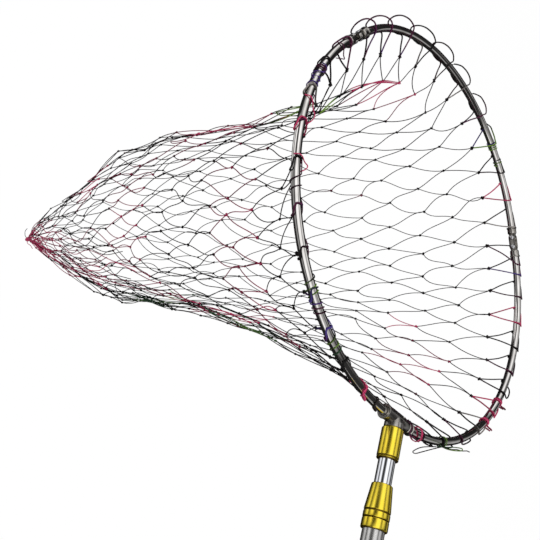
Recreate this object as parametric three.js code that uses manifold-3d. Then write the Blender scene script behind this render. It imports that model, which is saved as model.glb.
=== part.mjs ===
// Telescopic landing net: a three-section pole with twist locks, a folding hoop of three arcs and a net bag.
// Millimetres. +Y runs forward along the pole, +Z is up, and the origin is where the hand holds the grip.
import * as THREE from 'three';
import { mergeVertices } from 'three/addons/utils/BufferGeometryUtils.js';
import Module from 'manifold-3d';

const wasm = await Module();
wasm.setup();

// Clearances
const GAP = 0.3; // between pieces that seat on each other
const SLIDE_GAP = 0.35; // around a tube that slides
const PIN_GAP = 0.15; // around a rivet
const PRESS_GAP = 0.21; // around a piece that is pressed or glued in

// Pole tubes, each section wider than the one inside it
const TIP_TUBE_D = 15;
const TUBE_STEP = 4;
const TUBE_WALL = 1;
const SECTION_LENGTH = 560; // each of the three tubes, so that they nest
const TIP_EXPOSED = 22; // chrome tube between the ferrule and the front lock
const MID_EXPOSED = 40; // grey tube between the two locks

// Twist locks
const NUT_LENGTH = 29;
const NUT_TAPER = 21.5;
const NOSE_WALL = 1.3;
const LOCK_WALL = 1.9; // fixed body round the outer tube
const LOCK_BODY_LENGTH = 8.7;
const COLLET_START = 2.9; // behind the nut's nose
const COLLET_LENGTH = 7.8;
const COLLET_NOSE_WALL = 0.45;
const COLLET_TAIL_WALL = 0.9;
const COLLET_SLOT = 1.4;
const SNOUT_WALL = 1.4;
const LOCK_EDGE = 0.5; // chamfers of the nut and the body
const TAIL_EDGE = 0.8;

// Turned ring lines on the gold pieces
const RING_GROOVE = 0.45;
const RING_GROOVE_FLOOR = 0.8;
const RING_GROOVE_SIDE = 0.3;
const NUT_RING_START = 1; // behind the nut's taper
const FERRULE_RING_START = 0.9; // in front of the ferrule's rear end

// Guide bushes on the inner ends of the sliding tubes
const BUSH_COLLAR = 6;
const BUSH_SPIGOT = 14;
const BUSH_EDGE = 0.5;

// Grip and butt cap
const GRIP_LENGTH = 200;
const GRIP_WALL = 3;
const GRIP_SWELL = 1.2;
const GRIP_RINGS = 5;
const GRIP_GROOVE = 0.7;
const GRIP_EDGE = 1;
const CAP_FLANGE = 10;
const CAP_EDGE = 1.2;
const CAP_FRONT_EDGE = 0.6;
const CAP_PLUG = 25;
const CAP_PLUG_EDGE = 1;

// Ferrule, stud and threaded insert that carry the hoop
const FERRULE_LENGTH = 28;
const FERRULE_WALL = 1.95;
const FERRULE_TOP_WALL = 6;
const FERRULE_EDGE = 0.8;
const FERRULE_REAR_EDGE = 0.3;
const STUD_EDGE = 0.8;
const STUD_D = 8;
const STUD_LENGTH = 28;
const INSERT_LENGTH = 24;

// Hoop
const HOOP_RADIUS = 210; // mean radius of the tube's centre line
const HOOP_TUBE_D = 8;
const HOOP_TUBE_WALL = 1;
const HINGE_STRAIGHT = 32; // straight stretch between neighbouring arcs

// Hoop hinges: sleeve, link and two rivets
const SLEEVE_WALL = 1.2;
const SLEEVE_LENGTH = 8.3;
const LIP_HEIGHT = 0.8;
const LIP_LENGTH = 1.6;
const LIP_RISE = 0.6; // length of the slope up to the lip
const LIP_ROUND = 0.3;
const SLEEVE_EDGE = 0.8;
const SLEEVE_FLOOR = 1.8;
const LINK_SLIMMER = 0.1; // link and tongue are slimmer than the tube by these
const TONGUE_SLIMMER = 0.2;
const TONGUE_THICKNESS = 4;
const CHEEK_THICKNESS = 1.6;
const WEB_THICKNESS = 2.6;
const RIVET_D = 3;
const RIVET_HEAD_D = 5.4;
const RIVET_HEAD_HEIGHT = 1.1;
const FOLD_ROOM = 0.6; // half the space between two sleeves folded side by side

// Base socket at the pole
const BARREL_WALL = 2.2;
const BARREL_HALF = 18.5;
const BOSS_D = 14;
const BOSS_LENGTH = 9;
const BOSS_TAPER = 1;
const CHANNEL_WALL = 2.5;
const CHANNEL_LENGTH = 11;
const CHANNEL_DEPTH = 4.6;
const CHANNEL_ROOT = 1; // run of the channel into the barrel's end
const CATCH_THICKNESS = 5.4; // flat tongue on the right arc's end
const CATCH_TOP = 3.4;
const CATCH_BOTTOM = 3.6;
const CATCH_SIDE_GAP = 0.4;
const CATCH_END_GAP = 0.8;
const CATCH_SHOULDER_GAP = 0.5; // between the channel's end and the sleeve behind the catch
const CATCH_SLEEVE_LENGTH = 6.6;
const PLUNGER_D = 3.2;
const PLUNGER_HEAD_D = 4.8;
const PLUNGER_HEAD = 0.9;
const PLUNGER_NOSE = 1; // length of the rounded nose
const PLUNGER_EDGE = 0.3;

// Net bag, hung from the hoop and drawn over to one side
const BAG_DEPTH = 670;
const BAG_TURN = 32; // degrees from +X to the bag's far side; its top side is a quarter turn further
const BAG_WALL = 2;
const BAG_TIP_WALL = 40; // gathered end below the bag's inside
const BAG_MESHES = 12; // openings round the bag
const BAG_LEVELS = [0, 0.05, 0.13, 0.22, 0.32, 0.42, 0.52, 0.62, 0.72, 0.82, 0.91, 1]; // shares of the depth
const BAG_STRAND = 7; // width of the strands between the openings
const RIM_STEPS = 3; // straight steps of the rim over one opening
const RIM_DIP = 3; // the rim runs lower under the hinges and the socket
const RIM_DIP_HALF = 9; // degrees
const RIM_DIP_EASE = 6; // degrees
const RIM_FADE = 8; // power by which the rim's dips fade down the bag
const HOOP_FADE = 6; // and the hoop's own shape
// Share of the depth, then how far the bag reaches there to its top, bottom, far and near side, in hoop radii
const BAG_SECTIONS = [
  [0, 1, -1, 1, -1],
  [0.02, 0.8, -0.95, 0.98, -0.96],
  [0.07, 0.72, -0.84, 0.92, -0.87],
  [0.16, 0.77, -0.69, 0.83, -0.77],
  [0.28, 0.83, -0.5, 0.7, -0.69],
  [0.42, 0.88, -0.34, 0.53, -0.64],
  [0.57, 0.89, -0.2, 0.35, -0.59],
  [0.72, 0.83, -0.09, 0.17, -0.53],
  [0.86, 0.7, 0.12, -0.02, -0.45],
  [0.95, 0.59, 0.33, -0.17, -0.39],
  [1, 0.51, 0.47, -0.28, -0.32],
];
const END_KNOT_D = 11;
const END_KNOT_LENGTH = 16;

// Facets
const ROUND = 20;
const SMALL_ROUND = 16;
const PIN_SIDES = 12;
const ARC_STEPS = 20;
const TUBE_SIDES = 12;

// Radii that follow from the sizes above
const tipRadius = TIP_TUBE_D / 2;
const midRadius = tipRadius + TUBE_STEP / 2;
const buttRadius = midRadius + TUBE_STEP / 2;
const hoopTubeRadius = HOOP_TUBE_D / 2;
const sleeveRadius = hoopTubeRadius + SLEEVE_WALL;
const sleeveBore = hoopTubeRadius + GAP;
const linkRadius = hoopTubeRadius - LINK_SLIMMER;
const tongueRadius = linkRadius - TONGUE_SLIMMER;
const pinOffset = sleeveRadius + FOLD_ROOM;
const sleeveStart = pinOffset + linkRadius + GAP + TONGUE_SLIMMER;
const sleeveEnd = sleeveStart + SLEEVE_LENGTH;
const tubeEnd = sleeveStart + SLEEVE_FLOOR + GAP;
const barrelRadius = hoopTubeRadius + BARREL_WALL;
const barrelFloor = BOSS_D / 2 + GAP; // solid middle, either side of the pole's axis
const ferruleRadius = tipRadius + GAP + FERRULE_WALL;

// Places along the pole, worked forward from the butt
const gripRear = -GRIP_LENGTH / 2;
const buttFace = gripRear - GAP - CAP_FLANGE;
const lockSeat = NUT_LENGTH + GAP + LOCK_WALL; // outer tube's end, behind the nut's nose
const lockLength = NUT_LENGTH + GAP + LOCK_BODY_LENGTH;
const buttTubeFront = gripRear + SECTION_LENGTH;
const rearNose = buttTubeFront + lockSeat;
const midTubeFront = rearNose + MID_EXPOSED + lockLength - lockSeat;
const frontNose = midTubeFront + lockSeat;
const ferruleRear = frontNose + TIP_EXPOSED;
const ferruleFront = ferruleRear + FERRULE_LENGTH;
const tipTubeFront = ferruleFront - FERRULE_TOP_WALL - GAP;
const socketY = ferruleFront + GAP + BOSS_LENGTH;

// Hoop geometry: three arcs about centres pushed out by arcShift, joined by the straight stretches
const radians = THREE.MathUtils.degToRad;
const arcShift = HINGE_STRAIGHT / 2 / Math.sin(radians(60));
const arcRadius = HOOP_RADIUS - 0.75 * arcShift;
const hingeRadius = arcRadius + arcShift * Math.cos(radians(60));
const arcLength = arcRadius * radians(120);
const hoopY = socketY + hingeRadius;
const SOCKET_ANGLE = -90;
const RIGHT_ANGLE = 30;
const TOP_ANGLE = 150;

// Finishes
const finish = (color, roughness, metalness) => new THREE.MeshStandardMaterial({ color, roughness, metalness });
const hoopSteel = finish(0x8d9096, 0.18, 1);
const hingeSteel = finish(0x75787d, 0.25, 1);
const chrome = finish(0xd6d9dd, 0.08, 1);
const gold = finish(0xd9a93c, 0.2, 1);
const greyTube = finish(0xb9bcbf, 0.35, 1);
const nylon = finish(0xe4e0d4, 0.6, 0);
const foam = finish(0x202123, 0.85, 0);
const rubber = finish(0x17181a, 0.75, 0);
const netThread = finish(0x2b3030, 0.8, 0);

// Closed mesh with shared corners, no empty triangles and its faces outwards
function solid(geometry) {
  geometry.deleteAttribute('normal');
  geometry.deleteAttribute('uv');
  const merged = mergeVertices(geometry, 1e-4);
  const position = merged.attributes.position;
  const corner = (i) => new THREE.Vector3().fromBufferAttribute(position, i);
  const index = [];
  let volume = 0;
  for (let i = 0; i < merged.index.count; i += 3) {
    const a = merged.index.getX(i);
    const b = merged.index.getX(i + 1);
    const c = merged.index.getX(i + 2);
    if (a === b || b === c || a === c) continue;
    index.push(a, b, c);
    volume += corner(a).dot(corner(b).cross(corner(c)));
  }
  if (volume < 0) index.reverse();
  merged.setIndex(index);
  return merged;
}

// Boolean join and cut
function toManifold(geometry) {
  const vertProperties = new Float32Array(geometry.attributes.position.array);
  const triVerts = new Uint32Array(geometry.index.array);
  return new wasm.Manifold(new wasm.Mesh({ numProp: 3, vertProperties, triVerts }));
}

function fromManifold(manifold) {
  const mesh = manifold.getMesh();
  const geometry = new THREE.BufferGeometry();
  geometry.setAttribute('position', new THREE.BufferAttribute(new Float32Array(mesh.vertProperties), 3));
  geometry.setIndex(new THREE.BufferAttribute(new Uint32Array(mesh.triVerts), 1));
  return geometry;
}

function join(first, ...others) {
  return fromManifold(others.reduce((sum, g) => sum.add(toManifold(g)), toManifold(first)));
}

function cut(first, ...others) {
  return fromManifold(others.reduce((rest, g) => rest.subtract(toManifold(g)), toManifold(first)));
}

// Turned piece about Y from a profile of [radius, y]; a profile off the axis is closed on itself
function turned(profile, sides = ROUND) {
  const points = profile.map(([radius, y]) => new THREE.Vector2(radius, y));
  const last = points[points.length - 1];
  if (points[0].x > 0 || last.x > 0) points.push(points[0].clone());
  return solid(new THREE.LatheGeometry(points, sides));
}

// Ring line turned into a cylinder: four profile points from y onwards, in the direction given
function ringLine(radius, y, direction) {
  const floor = radius - RING_GROOVE;
  const floorStart = RING_GROOVE_SIDE;
  const floorEnd = floorStart + RING_GROOVE_FLOOR;
  return [
    [radius, y],
    [floor, y + direction * floorStart],
    [floor, y + direction * floorEnd],
    [radius, y + direction * (floorEnd + RING_GROOVE_SIDE)],
  ];
}

const alongX = (geometry) => geometry.rotateZ(-Math.PI / 2);
const tube = (outer, inner, rear, front) =>
  turned([[inner, rear], [outer, rear], [outer, front], [inner, front]]);

// Plate drawn in X and Z, centred on y = 0
function plate(shape, thickness, curveSegments = 6) {
  const geometry = new THREE.ExtrudeGeometry(shape, { depth: thickness, bevelEnabled: false, curveSegments });
  geometry.rotateX(Math.PI / 2);
  geometry.translate(0, thickness / 2, 0);
  return solid(geometry);
}

const block = (sx, sy, sz, x, y, z) => solid(new THREE.BoxGeometry(sx, sy, sz).translate(x, y, z));

const part = new THREE.Group();

function place(name, geometry, material, parent = part) {
  const mesh = new THREE.Mesh(geometry, material);
  mesh.name = name;
  parent.add(mesh);
}

// Twist lock round an inner tube, on the front end of an outer tube; nose is the nut's front face
function twistLock(prefix, inner, outer, nose) {
  const bodyRadius = outer + LOCK_WALL;
  const noseBore = inner + SLIDE_GAP;
  const noseRadius = noseBore + NOSE_WALL;
  const colletBore = inner + PRESS_GAP;
  const colletNose = colletBore + COLLET_NOSE_WALL;
  const colletTail = colletBore + COLLET_TAIL_WALL;
  const snoutBore = inner + SLIDE_GAP;
  const snoutRadius = snoutBore + SNOUT_WALL;
  const nutBore = snoutRadius + GAP;
  const colletRear = COLLET_START + COLLET_LENGTH;
  const snoutFront = colletRear + GAP;
  const bodyFront = NUT_LENGTH + GAP;
  const back = (depth) => nose - depth;

  place(`${prefix}_lock_nut`, turned([
    [noseBore, back(0)],
    [noseRadius - LOCK_EDGE, back(0)],
    [noseRadius, back(LOCK_EDGE)],
    [bodyRadius, back(NUT_TAPER)],
    ...ringLine(bodyRadius, back(NUT_TAPER + NUT_RING_START), -1),
    [bodyRadius, back(NUT_LENGTH - LOCK_EDGE)],
    [bodyRadius - LOCK_EDGE, back(NUT_LENGTH)],
    [nutBore, back(NUT_LENGTH)],
    [nutBore, back(colletRear)],
    [colletTail + GAP, back(colletRear)],
    [colletNose + GAP, back(COLLET_START - GAP)],
    [noseBore, back(COLLET_START - GAP)],
  ]), gold);

  const collet = turned([
    [colletBore, back(COLLET_START)],
    [colletNose, back(COLLET_START)],
    [colletTail, back(colletRear)],
    [colletBore, back(colletRear)],
  ]);
  const slot = block(COLLET_SLOT, COLLET_LENGTH * 2, outer * 2, 0, back(COLLET_START), outer);
  place(`${prefix}_lock_collet`, cut(collet, slot), nylon);

  place(`${prefix}_lock_body`, turned([
    [snoutBore, back(snoutFront)],
    [snoutRadius, back(snoutFront)],
    [snoutRadius, back(bodyFront)],
    [bodyRadius - LOCK_EDGE, back(bodyFront)],
    [bodyRadius, back(bodyFront + LOCK_EDGE)],
    [bodyRadius, back(lockLength - TAIL_EDGE)],
    [bodyRadius - TAIL_EDGE, back(lockLength)],
    [outer + PRESS_GAP, back(lockLength)],
    [outer + PRESS_GAP, back(lockSeat - GAP)],
    [snoutBore, back(lockSeat - GAP)],
  ]), gold);
}

// Guide bush pressed into the rear end of a sliding tube, running inside the next tube
function guideBush(name, inner, outer, rear) {
  const spigot = inner - TUBE_WALL - PRESS_GAP;
  const collar = outer - TUBE_WALL - SLIDE_GAP;
  const wall = spigot / 2;
  place(name, turned([
    [wall, rear - GAP - BUSH_COLLAR],
    [collar - BUSH_EDGE, rear - GAP - BUSH_COLLAR],
    [collar, rear - GAP - BUSH_COLLAR + BUSH_EDGE],
    [collar, rear - GAP],
    [spigot, rear - GAP],
    [spigot, rear + BUSH_SPIGOT],
    [wall, rear + BUSH_SPIGOT],
  ]), nylon);
}

// Butt section: tube, foam grip with ring grooves and a swell, and the butt cap
place('butt_tube', tube(buttRadius, buttRadius - TUBE_WALL, gripRear, buttTubeFront), greyTube);

function gripProfile() {
  const bore = buttRadius + PRESS_GAP;
  const stations = GRIP_RINGS * 3;
  const profile = [[bore, gripRear], [bore + GRIP_WALL - GRIP_EDGE, gripRear]];
  for (let i = 1; i < stations; i += 1) {
    const share = i / stations;
    const groove = i % 3 === 0 ? GRIP_GROOVE : 0;
    const swell = GRIP_SWELL * Math.sin(Math.PI * share);
    profile.push([bore + GRIP_WALL + swell - groove, gripRear + share * GRIP_LENGTH]);
  }
  profile.push([bore + GRIP_WALL - GRIP_EDGE, gripRear + GRIP_LENGTH], [bore, gripRear + GRIP_LENGTH]);
  return profile;
}
place('grip', turned(gripProfile()), foam);

const capRadius = buttRadius + GRIP_WALL + GRIP_SWELL / 2;
const plugRadius = buttRadius - TUBE_WALL - PRESS_GAP;
place('butt_cap', turned([
  [0, buttFace],
  [capRadius - CAP_EDGE, buttFace],
  [capRadius, buttFace + CAP_EDGE],
  [capRadius, gripRear - GAP - CAP_FRONT_EDGE],
  [capRadius - CAP_FRONT_EDGE, gripRear - GAP],
  [plugRadius, gripRear - GAP],
  [plugRadius, gripRear + CAP_PLUG - CAP_PLUG_EDGE],
  [plugRadius - CAP_PLUG_EDGE, gripRear + CAP_PLUG],
  [0, gripRear + CAP_PLUG],
]), rubber);
twistLock('rear', midRadius, buttRadius, rearNose);

// Middle section
const midTubeRear = midTubeFront - SECTION_LENGTH;
place('mid_tube', tube(midRadius, midRadius - TUBE_WALL, midTubeRear, midTubeFront), greyTube);
guideBush('mid_guide_bush', midRadius, buttRadius, midTubeRear);
twistLock('front', tipRadius, midRadius, frontNose);

// Tip section with the ferrule that takes the hoop's stud
const tipTubeRear = tipTubeFront - SECTION_LENGTH;
const studRadius = STUD_D / 2;
const studBore = studRadius + GAP;
place('tip_tube', tube(tipRadius, tipRadius - TUBE_WALL, tipTubeRear, tipTubeFront), chrome);
guideBush('tip_guide_bush', tipRadius, midRadius, tipTubeRear);
place('tip_insert', tube(tipRadius - TUBE_WALL - PRESS_GAP, studBore, tipTubeFront - INSERT_LENGTH, tipTubeFront), chrome);
place('head_ferrule', turned([
  [studBore, ferruleFront],
  [ferruleRadius - FERRULE_EDGE, ferruleFront],
  [ferruleRadius, ferruleFront - FERRULE_EDGE],
  ...ringLine(ferruleRadius, ferruleRear + FERRULE_RING_START, 1).reverse(),
  [ferruleRadius - FERRULE_REAR_EDGE, ferruleRear],
  [tipRadius + GAP, ferruleRear],
  [tipRadius + GAP, ferruleFront - FERRULE_TOP_WALL],
  [studBore, ferruleFront - FERRULE_TOP_WALL],
]), gold);

const studFront = socketY - BOSS_LENGTH / 3;
place('head_stud', turned([
  [0, studFront - STUD_LENGTH],
  [studRadius - STUD_EDGE, studFront - STUD_LENGTH],
  [studRadius, studFront - STUD_LENGTH + STUD_EDGE],
  [studRadius, studFront],
  [0, studFront],
], SMALL_ROUND), hingeSteel);

// Frame on the hoop at one joint: +X along the hoop anticlockwise, +Y to the hoop's middle
function hoopFrame(angle) {
  const frame = new THREE.Group();
  const a = radians(angle);
  frame.position.set(hingeRadius * Math.cos(a), hoopY + hingeRadius * Math.sin(a), 0);
  frame.rotation.z = a + Math.PI / 2;
  part.add(frame);
  return frame;
}

// Centre line of a hoop tube from one joint to the next; lead and tail run past the arc's ends
class HoopTubePath extends THREE.Curve {
  constructor(angle, lead, tail) {
    super();
    this.start = radians(angle);
    this.lead = lead;
    this.total = lead + arcLength + tail;
  }

  getPoint(t) {
    const s = t * this.total - this.lead;
    const turn = this.start + THREE.MathUtils.clamp(s, 0, arcLength) / arcRadius;
    const beyond = s - THREE.MathUtils.clamp(s, 0, arcLength);
    const middle = this.start + radians(60);
    const x = arcShift * Math.cos(middle) + arcRadius * Math.cos(turn) - beyond * Math.sin(turn);
    const y = arcShift * Math.sin(middle) + arcRadius * Math.sin(turn) + beyond * Math.cos(turn);
    return new THREE.Vector3(x, hoopY + y, 0);
  }
}

function hoopTube(name, angle, lead, tail) {
  const ring = new THREE.Shape();
  ring.absarc(0, 0, hoopTubeRadius, 0, Math.PI * 2);
  const bore = new THREE.Path();
  bore.absarc(0, 0, hoopTubeRadius - HOOP_TUBE_WALL, 0, Math.PI * 2, true);
  ring.holes.push(bore);
  const extrudePath = new HoopTubePath(angle, lead, tail);
  const options = { steps: ARC_STEPS, extrudePath, curveSegments: TUBE_SIDES / 2 };
  place(name, solid(new THREE.ExtrudeGeometry(ring, options)), hoopSteel);
}

const straightHalf = HINGE_STRAIGHT / 2;
const hingeLead = straightHalf - tubeEnd;
const barrelTail = straightHalf - barrelFloor - GAP;
const channelEnd = barrelFloor + CHANNEL_LENGTH;
const catchSleeveStart = channelEnd + CATCH_SHOULDER_GAP;
const catchLead = straightHalf - (catchSleeveStart + SLEEVE_FLOOR + GAP);
hoopTube('left_arc', TOP_ANGLE, hingeLead, barrelTail);
hoopTube('upper_arc', RIGHT_ANGLE, hingeLead, hingeLead);
hoopTube('right_arc', SOCKET_ANGLE, catchLead, hingeLead);

// Sleeve for a tube end: a turned cup along +X with a rolled lip at its mouth
function sleeveCup(start, end, bore) {
  const lipRadius = sleeveRadius + LIP_HEIGHT;
  return alongX(turned([
    [0, start],
    [sleeveRadius - SLEEVE_EDGE, start],
    [sleeveRadius, start + SLEEVE_EDGE],
    [sleeveRadius, end - LIP_LENGTH - LIP_RISE],
    [lipRadius - LIP_ROUND, end - LIP_LENGTH],
    [lipRadius, end - LIP_LENGTH / 2],
    [lipRadius - LIP_ROUND, end],
    [bore, end],
    [bore, start + SLEEVE_FLOOR],
    [0, start + SLEEVE_FLOOR],
  ], SMALL_ROUND));
}

function hingeSleeve(name, frame, side) {
  const tongue = new THREE.Shape();
  tongue.moveTo(sleeveStart + SLEEVE_FLOOR / 2, -tongueRadius);
  tongue.lineTo(sleeveStart + SLEEVE_FLOOR / 2, tongueRadius);
  tongue.lineTo(pinOffset, tongueRadius);
  tongue.absarc(pinOffset, 0, tongueRadius, Math.PI / 2, Math.PI * 1.5);
  const eye = new THREE.Path();
  eye.absarc(pinOffset, 0, RIVET_D / 2 + PIN_GAP, 0, Math.PI * 2, true);
  tongue.holes.push(eye);
  const cup = sleeveCup(sleeveStart, sleeveEnd, sleeveBore);
  const geometry = join(cup, plate(tongue, TONGUE_THICKNESS));
  if (side < 0) geometry.rotateZ(Math.PI);
  place(name, geometry, hingeSteel, frame);
}

// Link: two cheeks round the tongues, with a web between the tongue ends
function hingeLink(name, frame) {
  const cheek = new THREE.Shape();
  cheek.absarc(pinOffset, 0, linkRadius, -Math.PI / 2, Math.PI / 2);
  cheek.absarc(-pinOffset, 0, linkRadius, Math.PI / 2, Math.PI * 1.5);
  for (const side of [-1, 1]) {
    const eye = new THREE.Path();
    eye.absarc(side * pinOffset, 0, RIVET_D / 2 + PIN_GAP, 0, Math.PI * 2, true);
    cheek.holes.push(eye);
  }
  const cheekY = TONGUE_THICKNESS / 2 + GAP + CHEEK_THICKNESS / 2;
  const outerCheek = plate(cheek, CHEEK_THICKNESS).translate(0, -cheekY, 0);
  const innerCheek = plate(cheek, CHEEK_THICKNESS).translate(0, cheekY, 0);
  const web = block(WEB_THICKNESS, cheekY * 2, linkRadius * 1.6, 0, 0, 0);
  place(name, join(web, outerCheek, innerCheek), hingeSteel, frame);
}

function rivet(name, frame, x) {
  const seat = TONGUE_THICKNESS / 2 + GAP + CHEEK_THICKNESS + PIN_GAP;
  const shank = RIVET_D / 2;
  const head = RIVET_HEAD_D / 2;
  const half = [
    [shank, seat],
    [head, seat],
    [head * 0.85, seat + RIVET_HEAD_HEIGHT * 0.6],
    [head * 0.45, seat + RIVET_HEAD_HEIGHT],
    [0, seat + RIVET_HEAD_HEIGHT],
  ];
  const mirrored = half.map(([radius, y]) => [radius, -y]).reverse();
  place(name, turned([...mirrored, ...half], PIN_SIDES).translate(x, 0, 0), chrome, frame);
}

function hinge(prefix, angle, nearSide, farSide) {
  const frame = hoopFrame(angle);
  hingeSleeve(`${prefix}_hinge_sleeve_${nearSide}`, frame, 1);
  hingeSleeve(`${prefix}_hinge_sleeve_${farSide}`, frame, -1);
  hingeLink(`${prefix}_hinge_link`, frame);
  rivet(`${prefix}_hinge_rivet_${nearSide}`, frame, pinOffset);
  rivet(`${prefix}_hinge_rivet_${farSide}`, frame, -pinOffset);
}
hinge('top', TOP_ANGLE, 'left', 'upper');
hinge('right', RIGHT_ANGLE, 'upper', 'lower');

// Base socket: barrel for the left arc, channel open below for the right arc, boss on the pole's axis
const socketFrame = hoopFrame(SOCKET_ANGLE);
const slotHalf = CATCH_THICKNESS / 2 + CATCH_SIDE_GAP;
const channelHalf = slotHalf + CHANNEL_WALL;
const plungerX = barrelFloor + CHANNEL_LENGTH / 2;

function channelShape() {
  const arch = new THREE.Shape();
  const slotTop = CATCH_TOP + GAP;
  arch.moveTo(channelHalf, -CHANNEL_DEPTH);
  arch.lineTo(channelHalf, 0);
  arch.absarc(0, 0, channelHalf, 0, Math.PI);
  arch.lineTo(-channelHalf, -CHANNEL_DEPTH);
  arch.lineTo(-slotHalf, -CHANNEL_DEPTH);
  arch.lineTo(-slotHalf, slotTop);
  arch.lineTo(slotHalf, slotTop);
  arch.lineTo(slotHalf, -CHANNEL_DEPTH);
  return arch;
}

function hoopSocket() {
  const lip = barrelRadius + LIP_HEIGHT;
  const barrel = alongX(turned([
    [0, barrelFloor],
    [barrelRadius - SLEEVE_EDGE, barrelFloor],
    [barrelRadius, barrelFloor - SLEEVE_EDGE],
    [barrelRadius, -BARREL_HALF + LIP_LENGTH + LIP_RISE],
    [lip, -BARREL_HALF + LIP_LENGTH],
    [lip, -BARREL_HALF + LIP_ROUND],
    [lip - LIP_ROUND, -BARREL_HALF],
    [sleeveBore, -BARREL_HALF],
    [sleeveBore, -barrelFloor],
    [0, -barrelFloor],
  ], SMALL_ROUND));
  const depth = CHANNEL_LENGTH + CHANNEL_ROOT;
  const options = { depth, bevelEnabled: false, curveSegments: 6 };
  const channel = new THREE.ExtrudeGeometry(channelShape(), options);
  channel.rotateX(Math.PI / 2);
  channel.rotateZ(Math.PI / 2);
  channel.translate(barrelFloor - CHANNEL_ROOT, 0, 0);
  const boss = turned([
    [0, 0],
    [BOSS_D / 2 - BOSS_TAPER, 0],
    [BOSS_D / 2, -barrelRadius * 0.7],
    [BOSS_D / 2, -BOSS_LENGTH],
    [0, -BOSS_LENGTH],
  ], SMALL_ROUND);
  const bore = turned([
    [0, -BOSS_LENGTH / 3 + GAP],
    [studBore, -BOSS_LENGTH / 3 + GAP],
    [studBore, -BOSS_LENGTH * 2],
    [0, -BOSS_LENGTH * 2],
  ], SMALL_ROUND);
  const plungerHole = turned([
    [0, 0],
    [PLUNGER_D / 2 + GAP, 0],
    [PLUNGER_D / 2 + GAP, channelHalf * 2],
    [0, channelHalf * 2],
  ], PIN_SIDES).translate(plungerX, 0, 0);
  return cut(join(barrel, solid(channel), boss), bore, plungerHole);
}
place('hoop_socket', hoopSocket(), hingeSteel, socketFrame);

const plungerNose = CATCH_THICKNESS / 2 + GAP;
place('detent_plunger', turned([
  [0, plungerNose],
  [PLUNGER_D / 2 - PLUNGER_NOSE / 2, plungerNose + PLUNGER_NOSE / 4],
  [PLUNGER_D / 2, plungerNose + PLUNGER_NOSE],
  [PLUNGER_D / 2, channelHalf + GAP],
  [PLUNGER_HEAD_D / 2, channelHalf + GAP],
  [PLUNGER_HEAD_D / 2 - PLUNGER_EDGE, channelHalf + GAP + PLUNGER_HEAD],
  [0, channelHalf + GAP + PLUNGER_HEAD],
], PIN_SIDES).translate(plungerX, 0, 0), chrome, socketFrame);

// End fitting of the right arc: a sleeve with the flat catch that drops out of the channel
function arcEndFitting() {
  const catchShape = new THREE.Shape();
  const nose = barrelFloor + CATCH_END_GAP;
  const tail = catchSleeveStart + SLEEVE_FLOOR / 2;
  catchShape.moveTo(tail, -CATCH_BOTTOM);
  catchShape.lineTo(tail, CATCH_TOP);
  catchShape.lineTo(nose + CATCH_TOP, CATCH_TOP);
  catchShape.quadraticCurveTo(nose, CATCH_TOP, nose, 0);
  catchShape.quadraticCurveTo(nose, -CATCH_BOTTOM, nose + CATCH_BOTTOM, -CATCH_BOTTOM);
  const end = catchSleeveStart + CATCH_SLEEVE_LENGTH;
  const arcSag = Math.max(0, end - straightHalf) ** 2 / (2 * arcRadius); // the tube already curves in this sleeve
  const cup = sleeveCup(catchSleeveStart, end, sleeveBore + arcSag);
  return join(cup, plate(catchShape, CATCH_THICKNESS));
}
place('right_arc_end', arcEndFitting(), hingeSteel, socketFrame);

// Distance of the hoop's centre line from the hoop's middle, in a direction
function hoopReach(angle) {
  const fromMiddle = THREE.MathUtils.euclideanModulo(angle - radians(RIGHT_ANGLE), radians(120)) - radians(60);
  const fromHinge = radians(60) - Math.abs(fromMiddle);
  if (hingeRadius * Math.tan(fromHinge) < straightHalf) return hingeRadius / Math.cos(fromHinge);
  const across = arcShift * Math.sin(fromMiddle);
  return arcShift * Math.cos(fromMiddle) + Math.sqrt(arcRadius ** 2 - across ** 2);
}

// How far the rim lies below the hoop's centre line, lower under the hinges
function rimDrop(angle) {
  const fromMiddle = THREE.MathUtils.euclideanModulo(angle - radians(RIGHT_ANGLE), radians(120)) - radians(60);
  const fromHinge = 60 - Math.abs(THREE.MathUtils.radToDeg(fromMiddle));
  const ease = 1 - THREE.MathUtils.smoothstep(fromHinge, RIM_DIP_HALF, RIM_DIP_HALF + RIM_DIP_EASE);
  return hoopTubeRadius + GAP + RIM_DIP * ease;
}

// Net bag: a point of its inner face, part of the way along its curved sections and in a direction
const bagCurves = [1, 2, 3, 4].map((side) => new THREE.SplineCurve(
  BAG_SECTIONS.map((section) => new THREE.Vector2(section[0], section[side])),
));

function bagPoint(along, angle) {
  const [top, bottom, far, near] = bagCurves.map((curve) => curve.getPoint(along).y);
  const depth = Math.max(bagCurves[0].getPoint(along).x, 0);
  const turn = angle - radians(BAG_TURN);
  const hoopShape = 1 + (hoopReach(angle) / HOOP_RADIUS - 1) * (1 - depth) ** HOOP_FADE;
  const outwards = (far + near) / 2 + ((far - near) / 2) * Math.cos(turn) * hoopShape;
  const upwards = (top + bottom) / 2 + ((top - bottom) / 2) * Math.sin(turn) * hoopShape;
  const drop = BAG_DEPTH * depth + rimDrop(angle) * (1 - depth) ** RIM_FADE;
  const point = new THREE.Vector3(outwards * HOOP_RADIUS, upwards * HOOP_RADIUS, -drop);
  return point.applyAxisAngle(new THREE.Vector3(0, 0, 1), radians(BAG_TURN)).add(new THREE.Vector3(0, hoopY, 0));
}

// The same point moved out of the bag, square to its wall
function bagOffset(along, angle, distance) {
  const step = 1e-3;
  const point = bagPoint(along, angle);
  const round = bagPoint(along, angle + step).sub(bagPoint(along, angle - step));
  const down = bagPoint(Math.min(along + step, 1), angle).sub(bagPoint(Math.max(along - step, 0), angle));
  return point.addScaledVector(round.cross(down).normalize(), -distance);
}

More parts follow.
